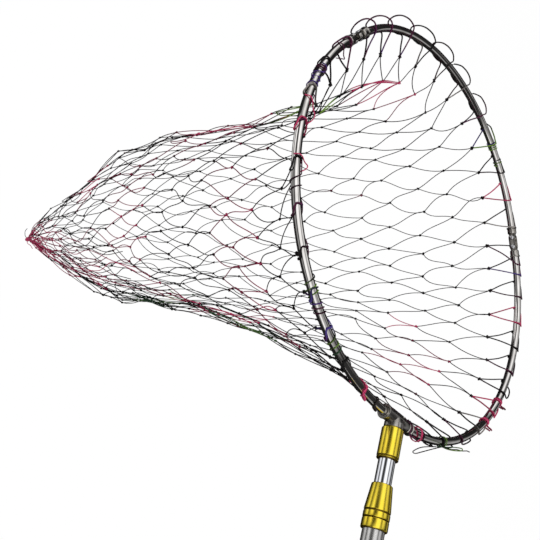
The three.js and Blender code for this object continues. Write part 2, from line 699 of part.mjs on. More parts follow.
// Share of the curved sections at a share of the depth, found by halving
function alongAt(depth) {
  let low = 0;
  let high = 1;
  for (let i = 0; i < 40; i += 1) {
    const middle = (low + high) / 2;
    if (bagCurves[0].getPoint(middle).x < depth) low = middle;
    else high = middle;
  }
  return (low + high) / 2;
}

// Corner of the mesh, in shares of the sections and as an angle: levels are half an opening apart
const meshStep = (Math.PI * 2) / BAG_MESHES;
const levelAlong = BAG_LEVELS.map(alongAt);
const meshCorner = (level, i) => [levelAlong[level], (i + (level % 2) / 2) * meshStep];

// Mesh of strands: triangles with shared corners on an outer and an inner face
class StrandMesh {
  constructor() {
    this.points = [];
    this.index = [];
    this.known = new Map();
  }

  // Outer and inner corner at one place of the bag's wall
  corner([along, angle]) {
    const turn = THREE.MathUtils.euclideanModulo(angle + 1e-6, Math.PI * 2);
    const key = `${along.toFixed(6)} ${turn.toFixed(4)}`;
    if (!this.known.has(key)) {
      this.known.set(key, this.points.length);
      this.points.push(bagOffset(along, angle, BAG_WALL), bagOffset(along, angle, 0));
    }
    return this.known.get(key);
  }

  quad(a, b, c, d) {
    this.index.push(a, b, c, a, c, d);
  }

  // One opening inside a ring of corners that runs anticlockwise seen from outside; too narrow a one stays shut
  cell(ring, width, height) {
    const middle = [0, 1].map((axis) => ring.reduce((sum, corner) => sum + corner[axis], 0) / ring.length);
    const open = 1 - ((BAG_STRAND / 2) * Math.hypot(width, height)) / (width * height);
    const outer = ring.map((corner) => this.corner(corner));
    const hole = ring.map((corner) => this.corner(corner.map((v, axis) => middle[axis] + (v - middle[axis]) * open)));
    for (let i = 0; i < ring.length; i += 1) {
      const j = (i + 1) % ring.length;
      this.quad(outer[i], outer[j], hole[j], hole[i]);
      this.quad(outer[i] + 1, hole[i] + 1, hole[j] + 1, outer[j] + 1);
      this.quad(hole[i], hole[j], hole[j] + 1, hole[i] + 1);
    }
  }

  // Filled cell
  fill(ring) {
    const corners = ring.map((corner) => this.corner(corner));
    for (let i = 1; i + 1 < corners.length; i += 1) {
      this.index.push(corners[0], corners[i], corners[i + 1]);
      this.index.push(corners[0] + 1, corners[i + 1] + 1, corners[i] + 1);
    }
  }
}

const bagSpan = (a, b) => bagPoint(...a).distanceTo(bagPoint(...b));

function middleOf(ring) {
  const sum = ring.reduce((total, p) => total.add(p), new THREE.Vector3());
  return sum.divideScalar(ring.length);
}

function bagRing(along, distance) {
  return Array.from({ length: BAG_MESHES }, (_, i) => bagOffset(along, i * meshStep, distance));
}

function netBag() {
  const mesh = new StrandMesh();
  const last = BAG_LEVELS.length - 1;
  for (let i = 0; i < BAG_MESHES; i += 1) {
    for (let level = 1; level < last; level += 1) {
      const beside = i + (level % 2);
      const left = meshCorner(level, i);
      const right = meshCorner(level, i + 1);
      const top = meshCorner(level - 1, beside);
      const bottom = meshCorner(level + 1, beside);
      const width = bagSpan(left, right) / 2;
      const height = bagSpan(top, bottom) / 2;
      const ring = [left, bottom, right, top];
      if (Math.min(width, height) > BAG_STRAND) mesh.cell(ring, width, height);
      else mesh.fill(ring);
    }
    const rim = [];
    for (let step = RIM_STEPS; step >= 0; step -= 1) rim.push([0, (i + step / RIM_STEPS) * meshStep]);
    const below = meshCorner(1, i);
    const half = bagSpan(rim[0], rim[RIM_STEPS]) / 2;
    mesh.cell([below, ...rim], half, bagSpan(below, [0, (i + 0.5) * meshStep]));
    const edge = rim.map((corner) => mesh.corner(corner));
    for (let step = 0; step < RIM_STEPS; step += 1) {
      mesh.quad(edge[step + 1], edge[step], edge[step] + 1, edge[step + 1] + 1);
    }
  }
  const endRing = [];
  for (let i = 0; i < BAG_MESHES; i += 1) {
    mesh.fill([meshCorner(last, i), meshCorner(last, i + 1), meshCorner(last - 1, i + (last % 2))]);
    endRing.push(mesh.corner(meshCorner(last, i)));
  }
  const pole = mesh.points.length;
  mesh.points.push(middleOf(bagRing(1, BAG_WALL)), middleOf(bagRing(alongAt(1 - BAG_TIP_WALL / BAG_DEPTH), 0)));
  endRing.forEach((corner, i) => {
    const next = endRing[(i + 1) % BAG_MESHES];
    mesh.index.push(next, corner, pole);
    mesh.index.push(corner + 1, next + 1, pole + 1);
  });
  const geometry = new THREE.BufferGeometry().setFromPoints(mesh.points);
  geometry.setIndex(mesh.index);
  return solid(geometry);
}
place('net_bag', netBag(), netThread);

// Knot that closes the gathered end
const tip = middleOf(bagRing(1, BAG_WALL));
const knotRadius = END_KNOT_D / 2;
place('end_knot', turned([
  [0, -GAP],
  [knotRadius * 0.6, -GAP],
  [knotRadius, -END_KNOT_LENGTH * 0.3],
  [knotRadius * 0.9, -END_KNOT_LENGTH * 0.65],
  [knotRadius * 0.5, -END_KNOT_LENGTH],
  [0, -END_KNOT_LENGTH],
], PIN_SIDES).rotateX(Math.PI / 2).translate(tip.x, tip.y, tip.z), netThread);

export default part;
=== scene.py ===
"""Telescopic landing net: smooth metalwork, a hand-knotted bag and its loops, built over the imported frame.

Metres. +Y runs forward along the pole, +Z is up out of the hoop, and the bag hangs towards -Z.
"""
import math

import bpy
import numpy as np
from mathutils import Matrix


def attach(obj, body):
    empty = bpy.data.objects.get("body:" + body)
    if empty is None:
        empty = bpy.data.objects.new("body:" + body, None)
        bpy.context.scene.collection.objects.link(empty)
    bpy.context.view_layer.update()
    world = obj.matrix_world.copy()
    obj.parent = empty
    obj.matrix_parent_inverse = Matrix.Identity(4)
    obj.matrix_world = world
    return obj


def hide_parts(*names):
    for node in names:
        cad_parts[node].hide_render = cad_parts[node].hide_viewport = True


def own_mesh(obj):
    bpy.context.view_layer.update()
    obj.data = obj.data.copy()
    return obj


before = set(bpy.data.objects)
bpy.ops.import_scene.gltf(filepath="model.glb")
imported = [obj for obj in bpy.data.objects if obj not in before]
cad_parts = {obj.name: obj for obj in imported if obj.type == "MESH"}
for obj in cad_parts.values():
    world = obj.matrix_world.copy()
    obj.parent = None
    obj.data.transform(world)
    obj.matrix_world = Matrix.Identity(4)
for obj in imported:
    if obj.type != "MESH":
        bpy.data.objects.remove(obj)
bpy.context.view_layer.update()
random = np.random.default_rng(7)
MM = 0.001

# Pole sizes: those of the solids, apart from the boss, which is wider here
GAP = 0.3 * MM
SLIDE_GAP = 0.35 * MM
PRESS_GAP = 0.21 * MM
TIP_RADIUS = 7.5 * MM
MID_RADIUS = 9.5 * MM
BUTT_RADIUS = 11.5 * MM
TUBE_WALL = 1 * MM
SECTION_LENGTH = 560 * MM
TIP_EXPOSED = 22 * MM
MID_EXPOSED = 40 * MM
NUT_LENGTH = 29 * MM
NUT_TAPER = 21.5 * MM
NOSE_WALL = 1.3 * MM
LOCK_WALL = 1.9 * MM
LOCK_BODY_LENGTH = 8.7 * MM
LOCK_EDGE = 0.5 * MM
TAIL_EDGE = 0.8 * MM
COLLET_START = 2.9 * MM
COLLET_LENGTH = 7.8 * MM
SNOUT_WALL = 1.4 * MM
RING_GROOVE = 0.45 * MM
RING_GROOVE_FLOOR = 0.8 * MM
RING_GROOVE_SIDE = 0.3 * MM
GROOVE_MARGIN = 0.1 * MM
NUT_RING_START = 1 * MM
FERRULE_RING_START = 0.9 * MM
FERRULE_LENGTH = 28 * MM
FERRULE_WALL = 1.95 * MM
FERRULE_TOP_WALL = 6 * MM
FERRULE_EDGE = 0.8 * MM
FERRULE_REAR_EDGE = 0.3 * MM
STUD_BORE = 4.3 * MM
GRIP_LENGTH = 200 * MM
GRIP_WALL = 3 * MM
GRIP_SWELL = 1.2 * MM
GRIP_RINGS = 5
GRIP_GROOVE = 0.7 * MM
GRIP_GROOVE_HALF = 2.2 * MM
GRIP_PLAIN = 0.1
GRIP_EDGE = 1 * MM
GRIP_ROUND = 0.8 * MM
CAP_FLANGE = 10 * MM
CAP_EDGE = 1.2 * MM
CAP_BACK_EDGE = 0.6 * MM
CAP_ROUND = 0.5 * MM
CAP_DISH = 0.6 * MM
CAP_DISH_FLOOR, CAP_DISH_RIM = 0.55, 0.6
CAP_PLUG = 25 * MM
CAP_PLUG_EDGE = 1 * MM
BOSS_LENGTH = 9 * MM
BOSS_RADIUS = 8.6 * MM
BOSS_TAPER = 1 * MM
BOSS_ROUND = 0.4 * MM

# Hoop sizes
HOOP_RADIUS = 210 * MM
HOOP_TUBE_RADIUS = 4 * MM
HOOP_TUBE_WALL = 1 * MM
STRAIGHT_HALF = 16 * MM
SLEEVE_RADIUS = 5.2 * MM
SLEEVE_BORE = 4.3 * MM
SLEEVE_LENGTH = 8.3 * MM
SLEEVE_EDGE = 0.8 * MM
SLEEVE_FLOOR = 1.8 * MM
LIP_HEIGHT = 0.8 * MM
LIP_LENGTH = 1.6 * MM
LIP_RISE = 0.6 * MM
LIP_ROUND = 0.3 * MM
CORE_HOLE = 0.3 * MM
LINK_RADIUS = 3.9 * MM
LINK_CLEAR = 0.2 * MM
TONGUE_RADIUS = 3.7 * MM
TONGUE_THICKNESS = 4 * MM
CHEEK_THICKNESS = 1.6 * MM
CHEEK_EDGE = 0.4 * MM
WEB_THICKNESS = 2.6 * MM
WEB_HALF_HEIGHT = 0.8 * LINK_RADIUS
WEB_EDGE = 0.1 * MM
PLATE_EDGE = 0.3 * MM
BEVEL_STEP = 0.3
PIN_GAP = 0.15 * MM
PIN_OFFSET = 5.8 * MM
RIVET_RADIUS = 1.5 * MM
RIVET_HEAD_RADIUS = 2.7 * MM
RIVET_HEAD_HEIGHT = 1.1 * MM
RIVET_CROWN = 0.08
RIVET_ROUND = 0.15 * MM
BARREL_RADIUS = 6.2 * MM
BARREL_FLOOR = 7.3 * MM
BARREL_HALF = 18.5 * MM
BARREL_ROUND = 0.35 * MM
BOSS_SHOULDER = 0.7 * BARREL_RADIUS
CHANNEL_LENGTH = 11 * MM
CHANNEL_DEPTH = 4.6 * MM
CHANNEL_SLOT = 3.1 * MM
CHANNEL_HALF = 5.6 * MM
CHANNEL_ROOT = 1 * MM
CHANNEL_EDGE = 0.6 * MM
CATCH_HALF = 2.7 * MM
CATCH_TOP = 3.4 * MM
CATCH_BOTTOM = 3.6 * MM
CATCH_END_GAP = 0.8 * MM
CATCH_SHOULDER_GAP = 0.5 * MM
CATCH_SLEEVE_LENGTH = 6.6 * MM
CATCH_ROUND = 3 * MM

# Fineness: sides of turned and bent pieces, points on their profiles, the usual rounding of a turned corner,
# and how far from the axis the profile of a solid piece stops
POLE_SIDES = 128
GRIP_SIDES = 96
SOCKET_SIDES = 64
SLEEVE_SIDES = 48
HOOP_SIDES = 32
RIVET_SIDES = 32
GRIP_STEPS = 240
HOOP_RINGS = 161
HALF_ROUND_POINTS = 25
RIVET_POINTS = 9
CATCH_STEPS = 8
TURNED_EDGE = 0.25 * MM
AXIS_GAP = 0.1 * MM

# Places along the pole, worked forward from the butt
GRIP_REAR = -GRIP_LENGTH / 2
GRIP_FRONT = GRIP_LENGTH / 2
BUTT_FACE = GRIP_REAR - GAP - CAP_FLANGE
LOCK_SEAT = NUT_LENGTH + GAP + LOCK_WALL
LOCK_LENGTH = NUT_LENGTH + GAP + LOCK_BODY_LENGTH
BUTT_FRONT = GRIP_REAR + SECTION_LENGTH
REAR_NOSE = BUTT_FRONT + LOCK_SEAT
MID_FRONT = REAR_NOSE + MID_EXPOSED + LOCK_LENGTH - LOCK_SEAT
FRONT_NOSE = MID_FRONT + LOCK_SEAT
FERRULE_REAR = FRONT_NOSE + TIP_EXPOSED
FERRULE_FRONT = FERRULE_REAR + FERRULE_LENGTH
FERRULE_RADIUS = TIP_RADIUS + GAP + FERRULE_WALL
TIP_FRONT = FERRULE_FRONT - FERRULE_TOP_WALL - GAP
SOCKET_Y = FERRULE_FRONT + GAP + BOSS_LENGTH

# Hoop places: three arcs about centres pushed out by ARC_SHIFT, joined by straight stretches
ARC_TURN = math.radians(120)
ARC_SHIFT = STRAIGHT_HALF / math.sin(ARC_TURN / 2)
ARC_RADIUS = HOOP_RADIUS - 0.75 * ARC_SHIFT
HINGE_RADIUS = ARC_RADIUS + ARC_SHIFT * math.cos(ARC_TURN / 2)
ARC_LENGTH = ARC_RADIUS * ARC_TURN
HOOP_Y = SOCKET_Y + HINGE_RADIUS
SLEEVE_START = PIN_OFFSET + LINK_RADIUS + GAP + LINK_CLEAR
SLEEVE_END = SLEEVE_START + SLEEVE_LENGTH
TUBE_END = SLEEVE_START + SLEEVE_FLOOR + GAP
CHANNEL_END = BARREL_FLOOR + CHANNEL_LENGTH
CATCH_SLEEVE_START = CHANNEL_END + CATCH_SHOULDER_GAP
SOCKET_ANGLE = -90
RIGHT_ANGLE = 30
TOP_ANGLE = 150

# Bag sizes: its depth, the hoop angle of its far side, and how fast the hoop's outline fades into an ellipse
BAG_DEPTH = 670 * MM
BAG_TURN = math.radians(32)
HOOP_FADE = 6
# Share of the depth, then how far the bag reaches there to its top, bottom, far and near side, in hoop radii
BAG_SECTIONS = np.array([
    [0, 1, -1, 1, -1],
    [0.02, 0.8, -0.95, 0.98, -0.96],
    [0.07, 0.72, -0.84, 0.92, -0.87],
    [0.16, 0.77, -0.69, 0.83, -0.77],
    [0.28, 0.83, -0.5, 0.7, -0.69],
    [0.42, 0.88, -0.34, 0.53, -0.64],
    [0.57, 0.89, -0.2, 0.35, -0.59],
    [0.72, 0.83, -0.09, 0.17, -0.53],
    [0.86, 0.7, 0.15, -0.02, -0.45],
    [0.95, 0.59, 0.36, -0.17, -0.39],
    [1, 0.51, 0.47, -0.28, -0.32],
])


class Value:
    """A shader socket; arithmetic on it adds Math nodes to its material."""

    def __init__(self, shade, socket):
        self.shade = shade
        self.socket = socket

    def math(self, operation, first, second=0.0):
        return self.shade.node("ShaderNodeMath", {"operation": operation}, {0: first, 1: second})

    def __add__(self, other):
        return self.math("ADD", self, other)

    def __sub__(self, other):
        return self.math("SUBTRACT", self, other)

    def __mul__(self, other):
        return self.math("MULTIPLY", self, other)

    def __truediv__(self, other):
        return self.math("DIVIDE", self, other)

    def __radd__(self, other):
        return self.math("ADD", other, self)

    def __rsub__(self, other):
        return self.math("SUBTRACT", other, self)

    def __rmul__(self, other):
        return self.math("MULTIPLY", other, self)

    def __rtruediv__(self, other):
        return self.math("DIVIDE", other, self)

    def sine(self):
        return self.math("SINE", self)

    def fraction(self):
        return self.math("FRACT", self)

    def above(self, level, softness):
        """0 below the level, 1 above it, over a soft step."""
        step = {"interpolation_type": "SMOOTHSTEP", "clamp": True}
        ends = {0: self, 1: level - softness, 2: level + softness, 3: 0.0, 4: 1.0}
        return self.shade.node("ShaderNodeMapRange", step, ends)


class Shade:
    """The node tree of one material or of the world."""

    def __init__(self, owner):
        owner.use_nodes = True
        self.owner = owner
        self.tree = owner.node_tree
        self.tree.nodes.clear()

    def node(self, kind, settings=None, inputs=None, out=0):
        """Adds a node, sets its settings first and then its sockets, and gives back one output."""
        made = self.tree.nodes.new(kind)
        for key, value in (settings or {}).items():
            if key == "stops":
                while len(made.color_ramp.elements) < len(value):
                    made.color_ramp.elements.new(1.0)
                for element, (position, colour) in zip(made.color_ramp.elements, value):
                    element.position = position
                    element.color = (*colour, 1.0)
            elif key == "interpolation":
                made.color_ramp.interpolation = value
            else:
                setattr(made, key, value)
        for key, value in (inputs or {}).items():
            if isinstance(value, Value):
                self.tree.links.new(value.socket, made.inputs[key])
            elif isinstance(value, tuple) and len(value) == 3 and made.inputs[key].type == "RGBA":
                made.inputs[key].default_value = (*value, 1.0)
            else:
                made.inputs[key].default_value = value
        return Value(self, made.outputs[out]) if made.outputs else made

    def place(self, kind="Object"):
        return self.node("ShaderNodeTexCoord", out=kind)

    def stretched(self, coordinates, scale):
        inputs = {"Vector": coordinates, "Scale": scale}
        return self.node("ShaderNodeMapping", {"vector_type": "POINT"}, inputs)

    def noise(self, coordinates, scale, detail=2.0, roughness=0.5):
        inputs = {"Vector": coordinates, "Scale": scale, "Detail": detail, "Roughness": roughness}
        return self.node("ShaderNodeTexNoise", None, inputs)

    def mix(self, share, first, second, blend="MIX"):
        settings = {"data_type": "RGBA", "blend_type": blend}
        return self.node("ShaderNodeMix", settings, {0: share, 6: first, 7: second}, out=2)

    def bump(self, height, strength, distance):
        inputs = {"Strength": strength, "Distance": distance, "Height": height}
        return self.node("ShaderNodeBump", None, inputs)

    def split(self, vector, part):
        return self.node("ShaderNodeSeparateXYZ", None, {"Vector": vector}, out=part)

    def finish(self, **sockets):
        """Principled surface with sockets named in words joined by underscores."""
        named = {key.replace("_", " "): value for key, value in sockets.items()}
        surface = self.node("ShaderNodeBsdfPrincipled", None, named)
        self.node("ShaderNodeOutputMaterial", None, {"Surface": surface})
        return self.owner


def new_shade(name):
    return Shade(bpy.data.materials.new(name))


def polished_tube(name, colour, dark, rough, tarnish):
    """Polished metal: cloudy tarnish in colour and roughness, drawing lines and short scratches."""
    shade = new_shade(name)
    spot = shade.place()
    lines = shade.noise(shade.stretched(shade.place("UV"), (8.0, 2.0, 1.0)), 6.0, 2.0)
    cloud = shade.noise(spot, 55.0, 4.0)
    scratch = shade.noise(shade.stretched(spot, (1.0, 1.0, 2.5)), 420.0, 2.0).above(0.66, 0.03)
    tone = shade.mix(cloud.above(0.52, 0.16) * tarnish + scratch * 0.12, colour, dark)
    roughness = rough + cloud * 0.03 + lines * 0.02 + scratch * 0.04
    return shade.finish(Base_Color=tone, Metallic=1.0, Roughness=roughness,
                        Normal=shade.bump(lines, 0.02, 0.0001))


def gold_anodised():
    """Polished gold anodising: fine turned rings round the pole, warm clouds, and painted shade that darkens
    the grooves.
    """
    shade = new_shade("gold_anodised")
    spot = shade.place()
    turned = shade.noise(shade.stretched(spot, (12.0, 2600.0, 12.0)), 1.0, 2.0)
    cloud = shade.noise(spot, 70.0, 3.0)
    wear = shade.noise(spot, 900.0, 2.0).above(0.7, 0.04)
    groove = shade.node("ShaderNodeAttribute", {"attribute_name": "groove"}, out="Fac")
    tone = shade.mix(cloud.above(0.5, 0.25) * 0.5, (1.0, 0.80, 0.080), (0.95, 0.66, 0.030))
    tone = shade.mix(wear * 0.12, tone, (0.97, 0.84, 0.36))
    # Painted shade: where the groove mark is set, the gold is darkened almost to black, as the grooves are
    # shaded
    tone = shade.mix(groove * 0.9, tone, (0.13, 0.065, 0.008))
    roughness = 0.16 + cloud * 0.05 + turned * 0.03 + groove * 0.3
    return shade.finish(Base_Color=tone, Metallic=1.0, Roughness=roughness,
                        Normal=shade.bump(turned, 0.012, 0.0001))


def satin_tube():
    """Satin grey pole tube: lengthwise brushing with rubbed bright bands."""
    shade = new_shade("grey_tube")
    spot = shade.place()
    brushed = shade.noise(shade.stretched(spot, (900.0, 18.0, 900.0)), 1.0, 3.0)
    cloud = shade.noise(spot, 30.0, 3.0)
    rubbed = shade.noise(shade.stretched(spot, (20.0, 160.0, 20.0)), 1.0, 2.0).above(0.62, 0.06)
    tone = shade.mix(cloud.above(0.5, 0.2) * 0.5, (0.62, 0.61, 0.59), (0.50, 0.495, 0.48))
    tone = shade.mix(rubbed * 0.3, tone, (0.72, 0.71, 0.68))
    return shade.finish(Base_Color=tone, Metallic=0.95, Roughness=0.14 + brushed * 0.08 + cloud * 0.04,
                        Normal=shade.bump(brushed, 0.03, 0.0001))


def net_thread():
    """Space-dyed braided twine: colour by metres along the thread, ply lines winding round it, and painted
    shade that darkens the valleys between the plies.
    """
    shade = new_shade("net_thread")
    uv = shade.place("UV")
    around = shade.split(uv, "X")
    along = shade.split(uv, "Y")
    drift = shade.noise(shade.place(), 9.0, 2.0)
    dye = (along / DYE_REPEAT + (drift - 0.5) * 0.2).fraction()
    colour = shade.node("ShaderNodeValToRGB", {"stops": DYES, "interpolation": "EASE"}, {0: dye})
    ply = ((around * 2.0 + along / PLY_TURN) * (2 * math.pi)).sine() * 0.5 + 0.5
    fuzz = shade.noise(shade.place(), 3200.0, 2.0)
    # Painted shade: the colour is multiplied darker in the valleys between the plies
    dark = shade.mix((1.0 - ply) * 0.45, colour, (0.35, 0.35, 0.35), "MULTIPLY")
    return shade.finish(Base_Color=dark, Roughness=0.6 + fuzz * 0.3, Specular_IOR_Level=0.12,
                        Normal=shade.bump(ply + fuzz * 0.3, 0.5, 0.0002))


def moulded(name, colour, shadow, rough, grain, depth):
    """Moulded plastic, foam or rubber: grained skin with a slow mottle."""
    shade = new_shade(name)
    spot = shade.place()
    skin = shade.node("ShaderNodeTexVoronoi", {"feature": "F1"}, {"Vector": spot, "Scale": grain})
    mottle = shade.noise(spot, 45.0, 4.0)
    scuff = shade.noise(shade.stretched(spot, (1.0, 0.3, 1.0)), 260.0, 3.0).above(0.68, 0.05)
    tone = shade.mix(mottle.above(0.5, 0.25) * 0.7, colour, shadow)
    tone = shade.mix(scuff * 0.14, tone, (0.5, 0.5, 0.5))
    return shade.finish(Base_Color=tone, Roughness=rough + mottle * 0.1 - scuff * 0.08,
                        Normal=shade.bump(skin, 0.35, depth))


# Dye of the twine: metres of one repeat, and its colours as shares of it
DYE_REPEAT = 1.15
PLY_TURN = 3.2 * MM
DYES = [
    (0.00, (0.007, 0.005, 0.006)), (0.10, (0.008, 0.008, 0.008)), (0.15, (0.22, 0.20, 0.19)),
    (0.20, (0.020, 0.018, 0.017)), (0.27, (0.022, 0.007, 0.010)),
    (0.31, (0.22, 0.018, 0.055)), (0.42, (0.44, 0.040, 0.115)), (0.49, (0.18, 0.015, 0.045)),
    (0.53, (0.010, 0.007, 0.008)), (0.71, (0.007, 0.007, 0.007)), (0.76, (0.020, 0.058, 0.026)),
    (0.81, (0.12, 0.21, 0.035)), (0.85, (0.009, 0.012, 0.011)), (0.90, (0.050, 0.030, 0.17)),
    (0.94, (0.060, 0.012, 0.034)), (1.00, (0.007, 0.005, 0.006)),
]
HOOP_STEEL = polished_tube("hoop_steel", (0.88, 0.855, 0.82), (0.52, 0.495, 0.46), 0.03, 0.5)
HINGE_STEEL = polished_tube("hinge_steel", (0.66, 0.64, 0.60), (0.24, 0.22, 0.19), 0.10, 0.8)
# Painted shade: a darker copy of the hinge steel, so that the base socket and its boss look shaded
SHADED_SOCKET_STEEL = polished_tube("shaded_socket_steel", (0.46, 0.44, 0.41), (0.15, 0.14, 0.12), 0.22, 0.8)
CHROME = polished_tube("tip_chrome", (0.93, 0.945, 0.97), (0.74, 0.76, 0.80), 0.03, 0.3)
GOLD = gold_anodised()
GREY_TUBE = satin_tube()
THREAD = net_thread()
NYLON = moulded("nylon", (0.80, 0.78, 0.71), (0.70, 0.68, 0.60), 0.45, 1500.0, 0.00006)
FOAM = moulded("grip_foam", (0.022, 0.022, 0.024), (0.040, 0.040, 0.042), 0.75, 1100.0, 0.0003)
RUBBER = moulded("cap_rubber", (0.016, 0.016, 0.018), (0.030, 0.030, 0.031), 0.6, 2400.0, 0.0001)


class Surface:
    """Collects grids of points into one closed mesh with a UV map: x round the section, y metres along it."""

    def __init__(self):
        self.points, self.quads, self.quad_uvs, self.caps, self.cap_uvs, self.marks = [], [], [], [], [], []
        self.count = 0

    def add(self, points, closed=False, caps=True, along=None, mark=0.0):
        """Skins batches of rings, an array (batch, ring, side, 3); closed joins the last ring to the first,
        and caps fills the two end rings. along gives metres per ring, mark a number per ring."""
        points = np.asarray(points, float)
        if points.ndim == 3:
            points = points[None]
        batches, rings, sides, _ = points.shape
        index = self.count + np.arange(batches * rings * sides).reshape(batches, rings, sides)
        if along is None:
            steps = np.linalg.norm(np.diff(points[:, :, 0], axis=1), axis=-1)
            along = np.concatenate([np.zeros((batches, 1)), np.cumsum(steps, axis=1)], axis=1)
        along = np.broadcast_to(along, (batches, rings))
        if closed:
            index = np.concatenate([index, index[:, :1]], axis=1)
            along = np.concatenate([along, along[:, -1:] + HOOP_TUBE_WALL], axis=1)
        index = np.concatenate([index, index[:, :, :1]], axis=2)
        low, high = index[:, :-1], index[:, 1:]
        quads = np.stack([low[:, :, :-1], low[:, :, 1:], high[:, :, 1:], high[:, :, :-1]], axis=-1)
        u0 = np.broadcast_to(np.arange(sides) / sides, quads.shape[:3])
        u1 = u0 + 1 / sides
        v0 = np.broadcast_to(along[:, :-1, None], quads.shape[:3])
        v1 = np.broadcast_to(along[:, 1:, None], quads.shape[:3])
        uv = np.stack([np.stack([u0, v0], -1), np.stack([u1, v0], -1),
                       np.stack([u1, v1], -1), np.stack([u0, v1], -1)], axis=-2)
        self.quads.append(quads.reshape(-1, 4))
        self.quad_uvs.append(uv.reshape(-1, 2))
        if caps and not closed:
            ends = np.concatenate([index[:, 0, -2::-1], index[:, -1, :-1]], axis=0)
            self.caps.append(ends)
            end_uv = np.zeros((2 * batches, sides, 2))
            end_uv[:batches, :, 1] = along[:, :1]
            end_uv[batches:, :, 1] = along[:, -1:]
            self.cap_uvs.append(end_uv.reshape(-1, 2))
        marks = np.broadcast_to(np.asarray(mark, float), (batches, rings))
        self.marks.append(np.repeat(marks.reshape(-1), sides))
        self.points.append(points.reshape(-1, 3))
        self.count += batches * rings * sides
        return self

    def piece(self, name, material, body, slot, *nodes, sharp=35.0, mark_name=None):
        """Makes the mesh object, rides it on its body and lets it stand for the nodes named."""
        faces = self.quads + self.caps
        corners = np.concatenate([f.reshape(-1) for f in faces])
        sizes = np.concatenate([np.full(len(f), f.shape[1]) for f in faces])
        mesh = bpy.data.meshes.new(name)
        mesh.vertices.add(self.count)
        mesh.vertices.foreach_set("co", np.concatenate(self.points).reshape(-1))
        mesh.loops.add(len(corners))
        mesh.loops.foreach_set("vertex_index", corners.astype(np.int32))
        mesh.polygons.add(len(sizes))
        mesh.polygons.foreach_set("loop_start", (np.cumsum(sizes) - sizes).astype(np.int32))
        uv_map = mesh.uv_layers.new(name="UVMap")
        uv_map.uv.foreach_set("vector", np.concatenate(self.quad_uvs + self.cap_uvs).reshape(-1))
        if mark_name:
            mark = mesh.attributes.new(mark_name, "FLOAT", "POINT")
            mark.data.foreach_set("value", np.concatenate(self.marks))
        mesh.update(calc_edges=True)
        mesh.polygons.foreach_set("use_smooth", np.ones(len(sizes), bool))
        if sharp:
            mesh.set_sharp_from_angle(angle=math.radians(sharp))
        mesh.validate()
        mesh.materials.append(material)
        made = bpy.data.objects.new(name, mesh)
        bpy.context.scene.collection.objects.link(made)
        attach(made, body)
        if nodes:
            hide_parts(*nodes)
        return made


def unit(vectors):
    """Vectors divided by their lengths."""
    return vectors / np.maximum(np.linalg.norm(vectors, axis=-1, keepdims=True), 1e-12)


def rounded(profile, radius, steps=4, closed=True):
    """Profile with its corners rounded: each becomes a quadratic curve between points a radius away on
    either side."""
    corner = np.asarray(profile, float)
    before, after = np.roll(corner, 1, axis=0), np.roll(corner, -1, axis=0)
    back, ahead = before - corner, after - corner
    back_length = np.linalg.norm(back, axis=1, keepdims=True)
    ahead_length = np.linalg.norm(ahead, axis=1, keepdims=True)
    cut = np.minimum(radius, 0.45 * np.minimum(back_length, ahead_length))
    start = corner + back * cut / np.maximum(back_length, 1e-12)
    end = corner + ahead * cut / np.maximum(ahead_length, 1e-12)
    t = np.linspace(0, 1, steps + 1)[None, :, None]
    curve = (1 - t) ** 2 * start[:, None] + 2 * t * (1 - t) * corner[:, None] + t ** 2 * end[:, None]
    if closed:
        return curve.reshape(-1, 2)
    return np.concatenate([corner[:1], curve[1:-1].reshape(-1, 2), corner[-1:]])


def rings(centres, across, up, radii, sides):
    """Circles of the radii round the centres, in the plane of across and up; across x up points along."""
    turn = np.linspace(0, 2 * np.pi, sides, endpoint=False)
    across = np.broadcast_to(across, centres.shape)[..., None, :]
    up = np.broadcast_to(up, centres.shape)[..., None, :]
    circle = np.cos(turn)[:, None] * across + np.sin(turn)[:, None] * up
    return centres[..., None, :] + np.asarray(radii)[..., None, None] * circle


X_AXIS, Y_AXIS, Z_AXIS = np.eye(3)


class JointFrame:
    """Axes at a joint: x along the hoop anticlockwise, y to the hoop's middle, z up; or the pole's own."""

    def __init__(self, origin, x, y):
        self.origin, self.x, self.y = origin, x, y
        self.z = np.cross(x, y)

    def at(self, x, y, z):
        x, y, z = (np.asarray(v, float)[..., None] for v in (x, y, z))
        return self.origin + x * self.x + y * self.y + z * self.z


def hoop_joint(angle):
    """Axes at the middle of the straight stretch at a hoop angle."""
    a = math.radians(angle)
    outwards = np.array([math.cos(a), math.sin(a), 0.0])
    along = np.array([-math.sin(a), math.cos(a), 0.0])
    return JointFrame(np.array([0, HOOP_Y, 0]) + HINGE_RADIUS * outwards, along, -outwards)


def turned(surface, profile, frame_at, axis, sides, closed=True, edge=TURNED_EDGE, steps=4, mark=None):
    """Lathe: a profile of [radius, distance along the axis], corners rounded, turned round the axis."""
    shape = rounded(profile, edge, steps, closed)
    if axis == "x":
        centres, across, up = frame_at.at(shape[:, 1], 0, 0), frame_at.y, frame_at.z
    else:
        centres, across, up = frame_at.at(0, shape[:, 1], 0), frame_at.z, frame_at.x
    marks = 0.0 if mark is None else mark(shape)
    return surface.add(rings(centres, across, up, shape[:, 0], sides), closed=closed, mark=marks)


POLE = JointFrame(np.zeros(3), X_AXIS, Y_AXIS)


def ring_line(radius, y, direction):
    """Ring groove in a cylinder: four profile points from y onwards, in the direction given."""
    floor = radius - RING_GROOVE
    ends = RING_GROOVE_SIDE + RING_GROOVE_FLOOR
    return [[radius, y], [floor, y + direction * RING_GROOVE_SIDE],
            [floor, y + direction * ends], [radius, y + direction * (ends + RING_GROOVE_SIDE)]]


def groove_shade_mark(body_radius, low, high):
    """1 where the profile lies in a groove below the body's radius between two places, else 0. The gold is
    painted dark there as shade.
    """
    def mark(shape):
        radius, y = shape.T
        deep = (radius < body_radius - GROOVE_MARGIN) & (y > low - GROOVE_MARGIN) & (y < high)
        return deep.astype(float)
    return mark


